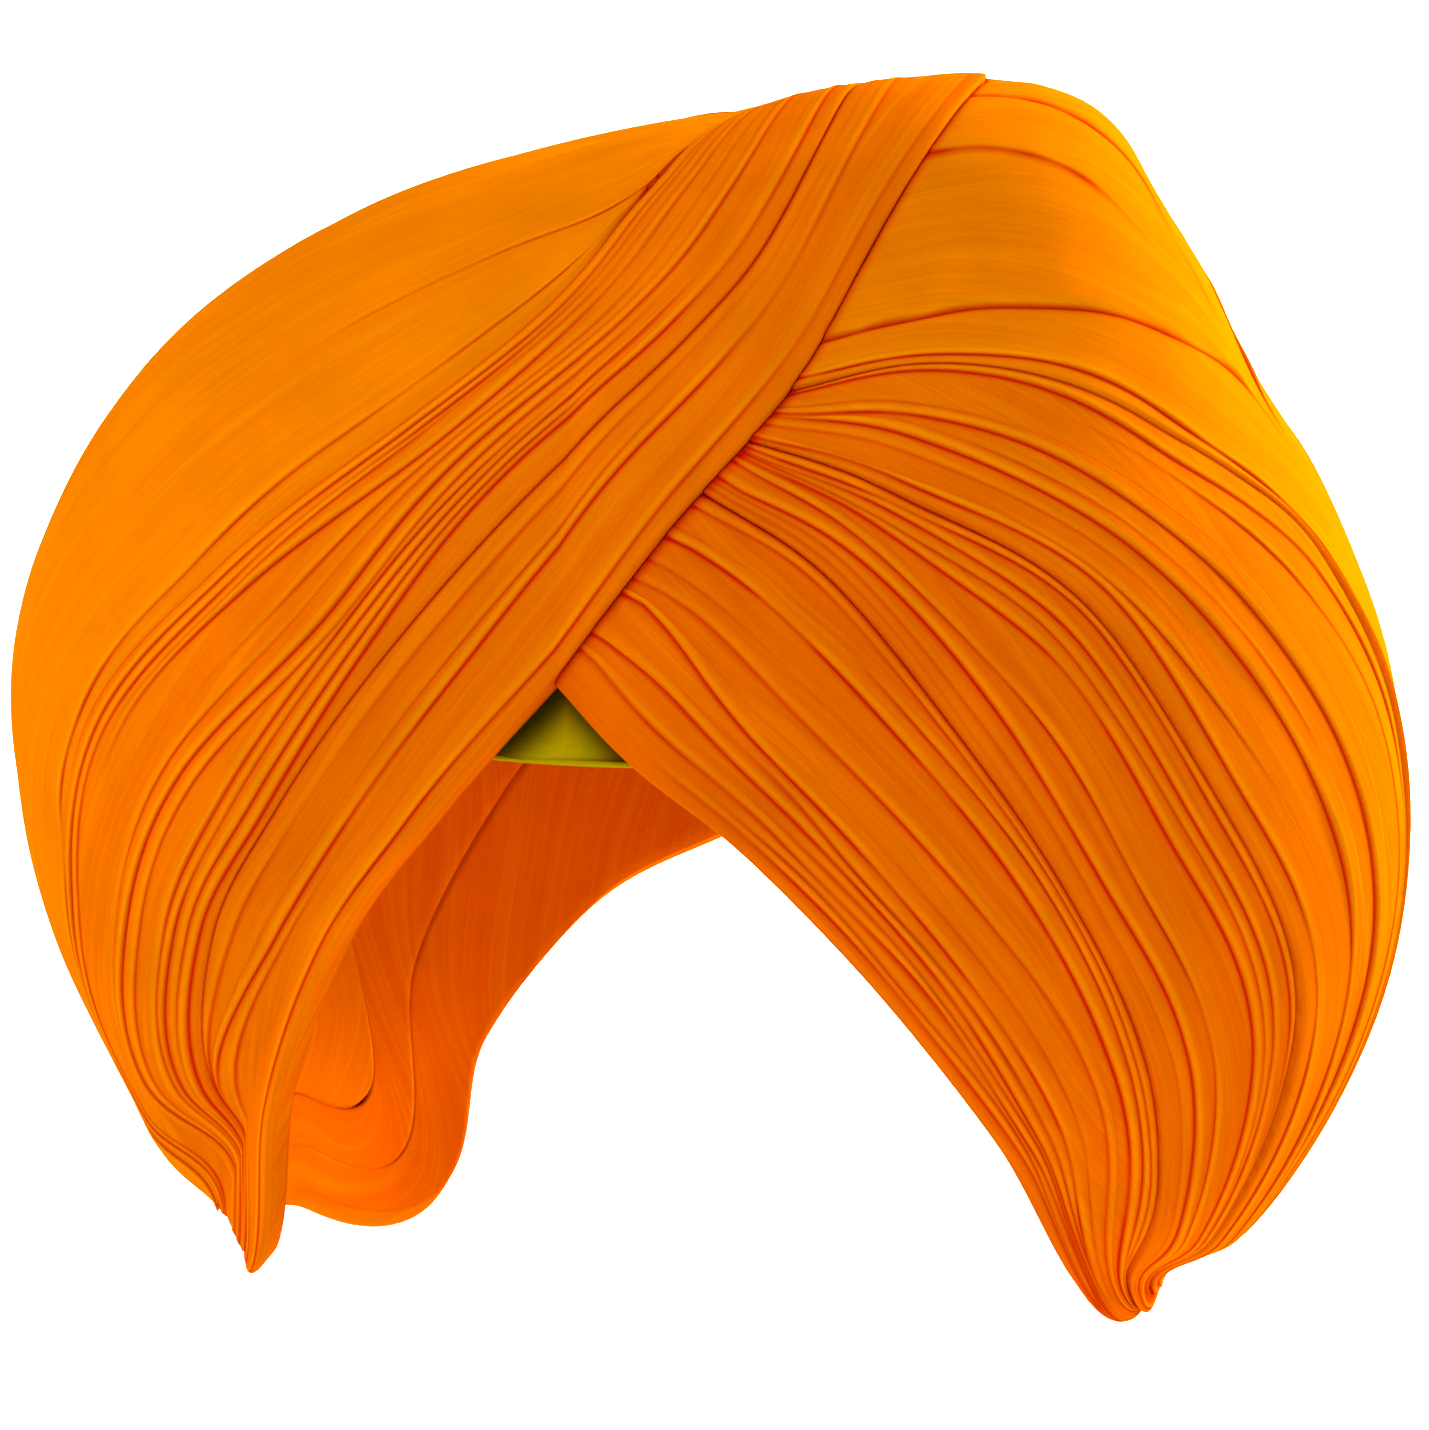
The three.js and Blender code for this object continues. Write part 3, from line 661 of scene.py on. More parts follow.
def add_node(
    tree: bpy.types.NodeTree,
    kind: str,
    links: dict[str | int, bpy.types.NodeSocket] | None = None,
    **settings: Any,
) -> bpy.types.Node:
    """Adds one node with its settings and links.

    Args:
        tree: The node tree.
        kind: The node's type name.
        links: Input socket name or number to the socket that feeds it.
        settings: Attributes of the node; "inputs" is a dict of input name or number to value.

    Returns:
        The new node.
    """
    node = tree.nodes.new(kind)
    values = settings.pop("inputs", {})
    for name, value in settings.items():
        setattr(node, name, value)
    for name, value in values.items():
        node.inputs[name].default_value = value
    for name, socket in (links or {}).items():
        tree.links.new(socket, node.inputs[name])
    return node


@dataclass(frozen=True)
class ClothFinish:
    """A plain woven cotton, dyed in the piece.

    Colours are sRGB hex codes: the cloth on the flat, a painted highlight on its crests and painted shade in
    its folds.
    """

    name: str
    cloth: str
    crest_highlight: str
    fold: str
    thread: float
    slub: float
    roughness: float

    def material(self) -> bpy.types.Material:
        """Builds the procedural material.

        Returns:
            The material, made once and shared by the pieces of this cloth.
        """
        found = bpy.data.materials.get(self.name)
        if found:
            return found
        made = bpy.data.materials.new(self.name)
        made.use_nodes = True
        tree = made.node_tree
        tree.nodes.clear()
        uv = add_node(tree, "ShaderNodeUVMap", uv_map="cloth").outputs["UV"]
        place = add_node(tree, "ShaderNodeTexCoord").outputs["Object"]
        # Painted shade: the cloth is mixed towards its darker red fold colour in folds, in crevices and where
        # it goes in under other laps, standing in for the light that thin layers of cloth pass on and of
        # which little comes back out.
        fold = add_node(tree, "ShaderNodeAttribute", attribute_name="fold").outputs["Fac"]
        # Painted highlight: the share of the lighter highlight colour on the ridge above each fold.
        crest_highlight = add_node(tree, "ShaderNodeAttribute", attribute_name="crest_highlight").outputs["Fac"]
        # Uneven dye, in clouds of a few centimetres.
        clouds = add_node(
            tree, "ShaderNodeTexNoise", {"Vector": place},
            inputs={"Scale": 1 / (28 * MM), "Detail": 3.0, "Roughness": 0.55},
        )
        cloud_range = add_node(
            tree, "ShaderNodeMapRange", {"Value": clouds.outputs["Fac"]},
            inputs={"From Min": 0.3, "From Max": 0.7, "To Min": 0.93, "To Max": 1.06},
        )
        # Slubs: thicker threads that run along the cloth.
        along = add_node(
            tree, "ShaderNodeMapping", {"Vector": uv},
            inputs={"Scale": (0.03 / (self.slub * MM), 1 / (self.slub * MM), 1.0)},
        )
        slubs = add_node(
            tree, "ShaderNodeTexNoise", {"Vector": along.outputs["Vector"]},
            noise_dimensions="2D", inputs={"Scale": 1.0, "Detail": 2.0, "Roughness": 0.6},
        )
        slub_range = add_node(
            tree, "ShaderNodeMapRange", {"Value": slubs.outputs["Fac"]},
            inputs={"From Min": 0.25, "From Max": 0.75, "To Min": 0.94, "To Max": 1.05},
        )
        # Painted light: soft streaks along the cloth, lightened towards the highlight colour, standing in for
        # the soft shading between its pleats.
        streak_map = add_node(
            tree, "ShaderNodeMapping", {"Vector": uv},
            inputs={"Scale": (1 / (110 * MM), 1 / (3.6 * MM), 1.0)},
        )
        streaks = add_node(
            tree, "ShaderNodeTexNoise", {"Vector": streak_map.outputs["Vector"]},
            noise_dimensions="2D", inputs={"Scale": 1.0, "Detail": 3.0, "Roughness": 0.55},
        )
        streak_range = add_node(
            tree, "ShaderNodeMapRange", {"Value": streaks.outputs["Fac"]},
            inputs={"From Min": 0.3, "From Max": 0.72, "To Min": -0.1, "To Max": 0.42},
        )
        # Painted highlight: the cloth is lightened towards its highlight colour on the ridges and along the
        # streaks.
        highlight_share = add_node(
            tree, "ShaderNodeMath", {0: crest_highlight, 1: streak_range.outputs["Result"]}, operation="MAXIMUM",
        )
        highlighted_cloth = add_node(
            tree, "ShaderNodeMix", {"Factor": highlight_share.outputs["Value"]}, data_type="RGBA",
            inputs={6: srgb(self.cloth), 7: srgb(self.crest_highlight)},
        )
        shade = add_node(
            tree, "ShaderNodeMath",
            {0: cloud_range.outputs["Result"], 1: slub_range.outputs["Result"]}, operation="MULTIPLY",
        )
        toned = add_node(
            tree, "ShaderNodeVectorMath",
            {0: highlighted_cloth.outputs[2], "Scale": shade.outputs["Value"]}, operation="SCALE",
        )
        # Painted shade: mix towards the fold colour by the fold share.
        colour = add_node(
            tree, "ShaderNodeMix", {"Factor": fold, 6: toned.outputs["Vector"]}, data_type="RGBA",
            inputs={7: srgb(self.fold)},
        )
        # Plain weave, drawn coarser than the real threads so that it shows at all.
        turned = 2 * math.pi / (self.thread * MM)
        split = add_node(tree, "ShaderNodeSeparateXYZ", {0: uv})
        threads = []
        for axis in ("X", "Y"):
            phase = add_node(
                tree, "ShaderNodeMath", {0: split.outputs[axis]}, operation="MULTIPLY", inputs={1: turned},
            )
            wave = add_node(tree, "ShaderNodeMath", {0: phase.outputs[0]}, operation="SINE")
            threads.append(wave.outputs[0])
        weave = add_node(tree, "ShaderNodeMath", {0: threads[0], 1: threads[1]}, operation="MULTIPLY")
        grain = add_node(
            tree, "ShaderNodeMath", {0: slubs.outputs["Fac"], 2: weave.outputs[0]},
            operation="MULTIPLY_ADD", inputs={1: 3.0},
        )
        bump = add_node(
            tree, "ShaderNodeBump", {"Height": grain.outputs[0]},
            inputs={"Strength": 0.35, "Distance": 0.05 * MM},
        )
        rough = add_node(
            tree, "ShaderNodeMapRange", {"Value": slubs.outputs["Fac"]},
            inputs={"To Min": self.roughness - 0.06, "To Max": self.roughness + 0.06},
        )
        shader = add_node(
            tree, "ShaderNodeBsdfPrincipled",
            {
                "Base Color": colour.outputs[2],
                "Roughness": rough.outputs["Result"],
                "Normal": bump.outputs["Normal"],
            },
            inputs={"Specular IOR Level": 0.0},
        )
        add_node(tree, "ShaderNodeOutputMaterial", {"Surface": shader.outputs["BSDF"]})
        return made


# Cotton voile: a thin open weave, soft and matte. The three voile finishes are one cloth in three painted
# tones of light and shade:
# darker on the gathered laps, paler and more yellow on the spreads drawn smooth.
VOILE_IN_PAINTED_SHADE = ClothFinish(
    name="orange_voile_painted_shade", cloth="EC6600", crest_highlight="FA8600", fold="D21400",
    thread=0.55, slub=0.9, roughness=0.9,
)
VOILE_IN_PAINTED_HALF_SHADE = replace(VOILE_IN_PAINTED_SHADE, name="orange_voile_painted_half_shade", cloth="EF6E00", crest_highlight="FB8C00")
VOILE_IN_PAINTED_LIGHT = replace(VOILE_IN_PAINTED_SHADE, name="orange_voile_painted_light", cloth="F27C00", crest_highlight="FB9000")
# Cotton poplin: closer and flatter than voile, dyed olive. Its fold colour is painted shade, used where the
# band goes in under the laps.
OLIVE_POPLIN = ClothFinish(
    name="olive_cotton_poplin", cloth="B4A400", crest_highlight="BCAC08", fold="302C00",
    thread=0.5, slub=0.8, roughness=0.85,
)


# Pieces


def make_mesh(name: str, points: Array, quads: Array, triangles: Array, uvs: Array) -> bpy.types.Object:
    """Makes a smooth mesh object at the origin from points in millimetres.

    Args:
        name: The object's name.
        points: Vertices, one row each.
        quads: Vertex numbers of the four-sided faces.
        triangles: Vertex numbers of the three-sided faces, or an empty array.
        uvs: One row for each corner, the quads' corners first, in metres of cloth.

    Returns:
        The object, linked to the scene.
    """
    mesh = bpy.data.meshes.new(name)
    mesh.vertices.add(len(points))
    mesh.vertices.foreach_set("co", (points * MM).astype(np.float32).ravel())
    corners = np.concatenate([quads.ravel(), triangles.ravel()]).astype(np.int32)
    sizes = np.concatenate([np.full(len(quads), 4), np.full(len(triangles), 3)]).astype(np.int32)
    starts = np.concatenate([[0], np.cumsum(sizes)[:-1]]).astype(np.int32)
    mesh.loops.add(len(corners))
    mesh.loops.foreach_set("vertex_index", corners)
    mesh.polygons.add(len(sizes))
    mesh.polygons.foreach_set("loop_start", starts)
    mesh.polygons.foreach_set("use_smooth", np.ones(len(sizes), bool))
    layer = mesh.uv_layers.new(name="cloth")
    layer.data.foreach_set("uv", uvs.astype(np.float32).ravel())
    mesh.update(calc_edges=True)
    mesh.validate()
    made = bpy.data.objects.new(name, mesh)
    bpy.context.scene.collection.objects.link(made)
    return made


def volume_of(points: Array, quads: Array) -> float:
    """Signed volume inside four-sided faces.

    Args:
        points: Vertices, one row each.
        quads: Vertex numbers of the faces.

    Returns:
        The volume, below zero where the faces point inwards.
    """
    a, b, c, d = (points[quads[:, k]] for k in range(4))
    first = np.einsum("ij,ij->i", a, np.cross(b, c)).sum()
    return float(first + np.einsum("ij,ij->i", a, np.cross(c, d)).sum()) / 6


def zipped_end(outer: Array, inner: Array) -> Array:
    """Triangles that close an end between its outside row and its inside row.

    Args:
        outer: Vertex numbers of the outside row.
        inner: Vertex numbers of the inside row, starting at the same edge.

    Returns:
        Vertex numbers of the triangles.
    """
    faces = []
    i = j = 0
    while i < len(outer) - 1 or j < len(inner) - 1:
        if (i + 1) / (len(outer) - 1) <= (j + 1) / (len(inner) - 1):
            faces.append((outer[i], outer[i + 1], inner[j]))
            i += 1
        else:
            faces.append((outer[i], inner[j + 1], inner[j]))
            j += 1
    return np.array(faces)


@dataclass(frozen=True)
class FoldSet:
    """The fold lines of one strip on its grid.

    places and depths have a row for each section and a column for each line; kinds has one entry a line.
    """

    places: Array
    depths: Array
    kinds: tuple[FoldKind, ...]


@dataclass
class PleatedStrip(ABC):
    """A lap or spread: pleated outside, plain inside, both edges and ends closed.

    Sizes are in millimetres. sections run along the strip and columns across its outside.
    """

    node: str
    form: WoundForm
    folds: tuple[Fold, ...]
    keys: tuple[float, ...]
    sections: int
    columns: int
    seed: int
    finish: ClothFinish
    flat: tuple[float, float]
    rests_on: str
    held: str = "folded"
    fill: float = 0.0
    inner_columns: int = 16
    wall_points: int = 3
    gap: float = 0.25
    fine_pitch: float = 3.6
    fine_depth: float = 0.24
    wander: float = 0.25
    fade: float = 0.8
    groove: float = 0.15
    slope: float = 0.42
    closest: float = 0.003
    depth_share: float = 0.6
    edge_round: float = 0.6
    edge_fall: float = 0.6
    swell: float = 0.12
    swell_waves: int = 10
    swell_pitch: float = 24.0
    red_from: float = 0.42
    red_above: float = 0.32
    red_below: float = 0.5
    crest_highlight_middle: float = 0.9
    seam_shade: float = 0.85
    seam_reach: float = 0.5
    seam_fall: float = 1.4
    rim_shade: float = 0.1
    thinnest: float = 1.0
    inside_shade: float = 0.3
    ring: bool = False
    at_rim: bool = False

    @abstractmethod
    def stations(self) -> Array:
        """Stations of the sections along the strip."""

    @abstractmethod
    def turn(self, station: Array) -> Array:
        """Share of the strip's length at each station, from 0 to 1."""

    @abstractmethod
    def key_station(self, station: Array) -> Array:
        """Where each station lies on the fold table's keys."""

    @abstractmethod
    def toward(self, station: Array, place: Array) -> Array:
        """Directions at stations and places across the strip."""

    @abstractmethod
    def lift(self, station: Array, place: Array) -> Array:
        """How far the strip stands proud of the form."""

    def edge_rounding(self, station: Array) -> Array:
        """Radius of the rounded lower edge at each station."""
        return np.full_like(station, self.edge_round)

    def end_shade(self, station: Array) -> Array:
        """Painted shade at each station where the cloth goes in under another lap."""
        return np.zeros_like(station)

    def calm(self, station: Array) -> Array:
        """Share of the folds' depth that is left at each station."""
        return np.ones_like(station)

    def main_places(self, station: Array) -> Array:
        """Places of the tabled folds, a column for each fold."""
        where = self.key_station(station)
        return np.stack([SmoothTable(self.keys, fold.places)(where) for fold in self.folds], axis=-1)

    def widths(self, station: Array) -> Array:
        """Width of the strip in millimetres at each station.

        Args:
            station: Stations of the sections.

        Returns:
            One width for each station.
        """
        steps = np.linspace(0, 1, 24)
        dirs = self.toward(station[:, None], steps[None, :])
        points = dirs * self.form.outer_radius(dirs)[..., None]
        return np.linalg.norm(np.diff(points, axis=1), axis=-1).sum(1)

    def fold_set(self, station: Array, width: Array) -> FoldSet:
        """Tabled folds and the seeded fine pleats between them.

        Args:
            station: Stations of the sections.
            width: Width of the strip at each.

        Returns:
            All fold lines, in order across the strip.
        """
        rng = np.random.default_rng(self.seed)
        turn = self.turn(station)
        where = self.key_station(station)
        main = self.main_places(station)
        edges = np.concatenate([np.zeros((len(station), 1)), main, np.ones((len(station), 1))], axis=1)
        places, depths, kinds = [], [], []
        for k in range(edges.shape[1] - 1):
            low, room = edges[:, k], edges[:, k + 1] - edges[:, k]
            if k > 0:
                fold = self.folds[k - 1]
                start, stop = fold.reach
                fade = smooth((where - start) / self.fade + 0.5) * smooth((stop - where) / self.fade + 0.5)
                sway = Ripple(self.seed * 101 + k, 5, 9).along(turn)
                vary = 1 + 0.28 * Ripple(self.seed * 211 + k, 6, 14).along(turn)
                places.append(low + self.wander / width * sway)
                depths.append(self.depth_share * fold.depth * np.clip(vary, 0.35, 1.6) * fade)
                kinds.append(fold.kind)
            span = float(np.median(room * width))
            count = max(0, int(round(span / self.fine_pitch)) - 1)
            for n in range(count):
                share = (n + 1 + rng.uniform(-0.28, 0.28)) / (count + 1)
                middle, length = rng.uniform(0, 1), rng.uniform(0.12, 0.4)
                off = np.abs((turn - middle + 0.5) % 1.0 - 0.5)
                shown = smooth((length - off) / 0.1 + 0.5)
                sway = Ripple(self.seed * 307 + 17 * k + n, 4, 8).along(turn)
                places.append(low + room * share + 0.5 * self.wander / width * sway)
                depths.append(self.fine_depth * rng.uniform(0.35, 1.3) * shown)
                kinds.append(FoldKind.CREASE)
        grid = np.stack(places, axis=1)
        for k in range(grid.shape[1]):
            floor = grid[:, k - 1] if k else np.zeros(len(station))
            grid[:, k] = np.maximum(grid[:, k], floor + self.closest)
        for k in reversed(range(grid.shape[1])):
            roof = grid[:, k + 1] if k + 1 < grid.shape[1] else np.ones(len(station))
            grid[:, k] = np.minimum(grid[:, k], roof - self.closest)
        return FoldSet(grid, np.stack(depths, axis=1) * self.calm(station)[:, None], tuple(kinds))

    def column_places(self, folds: FoldSet, width: Array) -> tuple[Array, list[int]]:
        """Places of the outside columns, closest together at the folds.

        Args:
            folds: The fold lines.
            width: Width of the strip at each section.

        Returns:
            Places, a row for each section, and the column number of each fold line and of both edges.
        """
        count = len(width)
        lines = np.concatenate([np.zeros((count, 1)), folds.places, np.ones((count, 1))], axis=1)
        rooms = np.median(np.diff(lines, axis=1) * width[:, None], axis=0)
        steps = np.maximum(5, np.round(self.columns * rooms / rooms.sum())).astype(int)
        parts, marks = [lines[:, :1]], [0]
        for k, step in enumerate(steps):
            share = 0.5 - 0.5 * np.cos(np.pi * np.arange(1, step + 1) / step)
            parts.append(lines[:, k:k + 1] + (lines[:, k + 1:k + 2] - lines[:, k:k + 1]) * share)
            marks.append(marks[-1] + int(step))
        return np.concatenate(parts, axis=1), marks

    def relief(self, folds: FoldSet, across: Array, marks: list[int]) -> tuple[Array, Array, Array]:
        """Height of the pleats over the plain strip.

        Args:
            folds: The fold lines.
            across: Distance of each column from the lower edge.
            marks: Column numbers of the edges and fold lines.

        Returns:
            Heights, the share of painted shade in and beside each fold, and the share of painted highlight on
            the ridge above it, both from 0 to 1.
        """
        height = np.zeros_like(across)
        painted_shade_share = np.zeros_like(across)
        crest_highlight = np.zeros_like(across)
        for k, kind in enumerate(folds.kinds):
            edge, above, below = kind.value
            before, here, after = marks[k], marks[k + 1], marks[k + 2]
            line = across[:, here:here + 1]
            room = np.minimum(line - across[:, before:before + 1], across[:, after:after + 1] - line)
            depth = np.minimum(folds.depths[:, k:k + 1], self.slope * room)
            rise = across[:, here:after] - line
            fall = line - across[:, before:here]
            if kind is FoldKind.DRAPE:
                height[:, here:after] -= depth * np.exp(-((rise / edge) ** 2))
                height[:, before:here] -= depth * np.exp(-((fall / below) ** 2))
                continue
            # Painted shade in and below each fold, and a painted highlight on the ridge just above it, as
            # shares from 0 to 1.
            dark = np.clip(depth / self.red_from, 0, 1) ** 0.75
            over = 1 - np.exp(-((rise / edge) ** 1.5))
            height[:, here:after] += depth * (over * np.exp(-rise / above) - self.groove * (1 - over))
            height[:, before:here] -= depth * self.groove * np.exp(-fall / below)
            painted_shade_share[:, here:after] += dark * np.exp(-((rise / self.red_above) ** 2))
            painted_shade_share[:, before:here] += dark * np.exp(-((fall / self.red_below) ** 1.6))
            crest_highlight[:, here:after] += dark * np.exp(-((rise / self.crest_highlight_middle - 1) ** 2))
        return height, np.clip(painted_shade_share, 0, 1), np.clip(crest_highlight, 0, 1)

    def build(self) -> bpy.types.Object:
        """Builds the strip's mesh.

        Returns:
            The finished object at the origin.
        """
        station = self.stations()
        width = self.widths(station)
        folds = self.fold_set(station, width)
        place, marks = self.column_places(folds, width)
        margin = (self.gap / 2 / width)[:, None]
        held = margin + (1 - 2 * margin) * place
        dirs = self.toward(station[:, None], held)
        base = self.form.outer_radius(dirs) + self.lift(station[:, None], held)
        plain = dirs * base[..., None]
        steps = np.linalg.norm(np.diff(plain, axis=1), axis=-1)
        across = np.concatenate([np.zeros((len(station), 1)), np.cumsum(steps, axis=1)], axis=1)
        height, painted_shade_share, crest_highlight = self.relief(folds, across, marks)
        waves = Ripple(self.seed * 13 + 5, 12, self.swell_waves)
        turn = self.turn(station)[:, None] + 0 * across
        height = height + self.swell * waves.over(turn, across, self.swell_pitch)
        rounding = self.edge_rounding(station)[:, None]
        from_edge = np.clip(1 - across / rounding, 0, 1)
        height = height - rounding * (1 - np.sqrt(1 - from_edge ** 2))
        to_edge = across[:, -1:] - across
        height = height - self.edge_fall * np.exp(-to_edge / self.seam_fall)
        # Painted shade along the upper edge where the next lap lies over this one, added to the painted shade
        # of the folds and of the ends.
        seam = self.seam_shade * np.exp(-((to_edge / self.seam_reach) ** 2))
        painted_shade_share = np.clip(painted_shade_share + seam + self.end_shade(station)[:, None], 0, 1)
        inside = self.form.inner_radius(dirs)
        outer = dirs * np.maximum(base + height, inside + self.thinnest)[..., None]
        return self.close(station, held, outer, across, painted_shade_share, crest_highlight)

    def close(
        self, station: Array, place: Array, outer: Array, across: Array, painted_shade_share: Array, crest_highlight: Array,
    ) -> bpy.types.Object:
        """Adds the inside, the edges and the ends to the outside.

        Args:
            station: Stations of the sections.
            place: Places of the outside columns.
            outer: Points of the outside.
            across: Distances across the outside.
            painted_shade_share: Share of painted shade in the folds and along the seams and ends.
            crest_highlight: Share of painted highlight on the ridges.

        Returns:
            The finished object.
        """
        count, columns = outer.shape[:2]
        shares = np.linspace(1, 0, self.inner_columns)
        span = np.broadcast_to(shares, (count, self.inner_columns))
        inner_dirs = self.toward(station[:, None], span)
        inner = inner_dirs * self.form.inner_radius(inner_dirs)[..., None]
        steps = (np.arange(self.wall_points) + 1) / (self.wall_points + 1)
        down = outer[:, -1:] + (inner[:, :1] - outer[:, -1:]) * steps[None, :, None]
        rise = inner[:, -1:] + (outer[:, :1] - inner[:, -1:]) * steps[None, :, None]
        loop = np.concatenate([outer, down, inner, rise], axis=1)
        size = loop.shape[1]
        points = loop.reshape(-1, 3)
        index = np.arange(count * size).reshape(count, size)
        rows = np.concatenate([index, index[:1]]) if self.ring else index
        rows = np.concatenate([rows, rows[:, :1]], axis=1)
        quads = np.stack([rows[:-1, :-1], rows[1:, :-1], rows[1:, 1:], rows[:-1, 1:]], axis=-1).reshape(-1, 4)
        grid = self.cloth_uv(loop, columns)
        uv = np.stack([grid[:-1, :-1], grid[1:, :-1], grid[1:, 1:], grid[:-1, 1:]], axis=2).reshape(-1, 2)
        triangles = np.zeros((0, 3), int)
        if not self.ring:
            ends = [
                zipped_end(row[:columns], row[columns:][::-1]) for row in (index[0], index[-1])
            ]
            triangles = np.concatenate([ends[0], ends[1][:, ::-1]])
        plain_uv = grid[:count, :size].reshape(-1, 2)
        if volume_of(points, quads) < 0:
            quads, triangles = quads[:, ::-1], triangles[:, ::-1]
            uv = uv.reshape(-1, 4, 2)[:, ::-1].reshape(-1, 2)
        uv = np.concatenate([uv, plain_uv[triangles.ravel()]]) if len(triangles) else uv
        made = make_mesh(f"{self.node}_cloth", points, quads, triangles, uv)
        # Painted shade: full fold colour on the walls between laps, a little on a visible face edge, and some
        # over the inside.
        rest = np.full(size - columns, self.inside_shade)
        rest[:self.wall_points] = 1.0
        rest[-self.wall_points:] = self.rim_shade if self.at_rim else 1.0
        for name, values, others in (("fold", painted_shade_share, rest), ("crest_highlight", crest_highlight, 0 * rest)):
            layer = made.data.attributes.new(name, "FLOAT", "POINT")
            full = np.concatenate([values, np.broadcast_to(others, (count, len(others)))], axis=1)
            layer.data.foreach_set("value", full.astype(np.float32).ravel())
        return made

    def cloth_uv(self, loop: Array, columns: int) -> Array:
        """Cloth coordinates in metres, one row and column more than the loop for its seams.

        Args:
            loop: Points of the closed sections.
            columns: How many of them are on the outside.

        Returns:
            Lengths along and across the cloth.
        """
        middle = loop[:, columns // 2]
        ahead = np.concatenate([middle, middle[:1]])
        along = np.concatenate([[0], np.cumsum(np.linalg.norm(np.diff(ahead, axis=0), axis=-1))])
        round_trip = np.concatenate([loop, loop[:, :1]], axis=1)
        steps = np.linalg.norm(np.diff(round_trip, axis=1), axis=-1)
        across = np.concatenate([np.zeros((len(loop), 1)), np.cumsum(steps, axis=1)], axis=1)
        across = np.concatenate([across, across[:1] if self.ring else across[-1:]])
        grid = np.stack([np.broadcast_to(along[:, None], across.shape), across], axis=-1)
        return (grid if self.ring else grid[:-1]) * MM

    def dress(self, made: bpy.types.Object) -> None:
        """Gives the piece its cloth and its place in the frame.

        Args:
            made: The finished object.
        """
        made.data.materials.append(self.finish.material())
        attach(made, "root")
        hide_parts(self.node)


@dataclass
class LeftLap(PleatedStrip):
    """A lap of the left side between two places across its family."""

    family: LeftFamily | None = None
    start: float = 0.0
    stop: float = 1.0
    end_gap: float = 0.006
    step: float = 1.0
    tuck_depth: float = 1.5
    tuck_reach: float = 0.8
    ear_lift: float = 3.5
    ear_reach: float = 1.0
    rim_round: float = 3.2
    end_shade_strength: float = 0.8
    end_reach: float = 0.05

    def __post_init__(self) -> None:
        """Keeps the folds that lie on this lap, as places across it."""
        self.at_rim = self.start == 0
        span = self.stop - self.start
        self.folds = tuple(
            Fold(tuple((p - self.start) / span for p in f.places), f.depth, f.kind, f.reach)
            for f in self.folds if self.start < f.places[0] < self.stop
        )

    def stations(self) -> Array:
        """Stations from the hoop in front to the hoop at the back."""
        return np.linspace(self.end_gap, self.family.last - self.end_gap, self.sections)

    def turn(self, station: Array) -> Array:
        """Share of the way from the hoop to the hoop."""
        return station / self.family.last

    def key_station(self, station: Array) -> Array:
        """Stations away from the nearer hoop."""
        return np.minimum(station, self.family.last - station)

    def toward(self, station: Array, place: Array) -> Array:
        """Directions on this lap."""
        return self.family.toward(station, self.start + (self.stop - self.start) * place)

    def lift(self, station: Array, place: Array) -> Array:
        """Tucked in at the hoop, gathered full at the ear and stepped up over the lap below.

        Args:
            station: Stations along the lap.
            place: Places across it.

        Returns:
            Lifts in millimetres.
        """
        tuck = -self.tuck_depth * (1 - smooth(self.key_station(station) / self.tuck_reach))
        off = (self.key_station(station) - self.family.ear + 1) / self.ear_reach
        ear = self.ear_lift * (self.start + (self.stop - self.start) * place) * np.exp(-off ** 2)
        return tuck + ear + (self.step if self.start > 0 else 0.0) * (1 - place) ** 2

    def end_shade(self, station: Array) -> Array:
        """Painted shade where the lap comes out from under the hoop."""
        return self.end_shade_strength * np.exp(-((self.key_station(station) / self.end_reach) ** 2))

    def edge_rounding(self, station: Array) -> Array:
        """A fuller roll along the face edge."""
        return np.full_like(station, self.edge_round if self.start > 0 else self.rim_round)


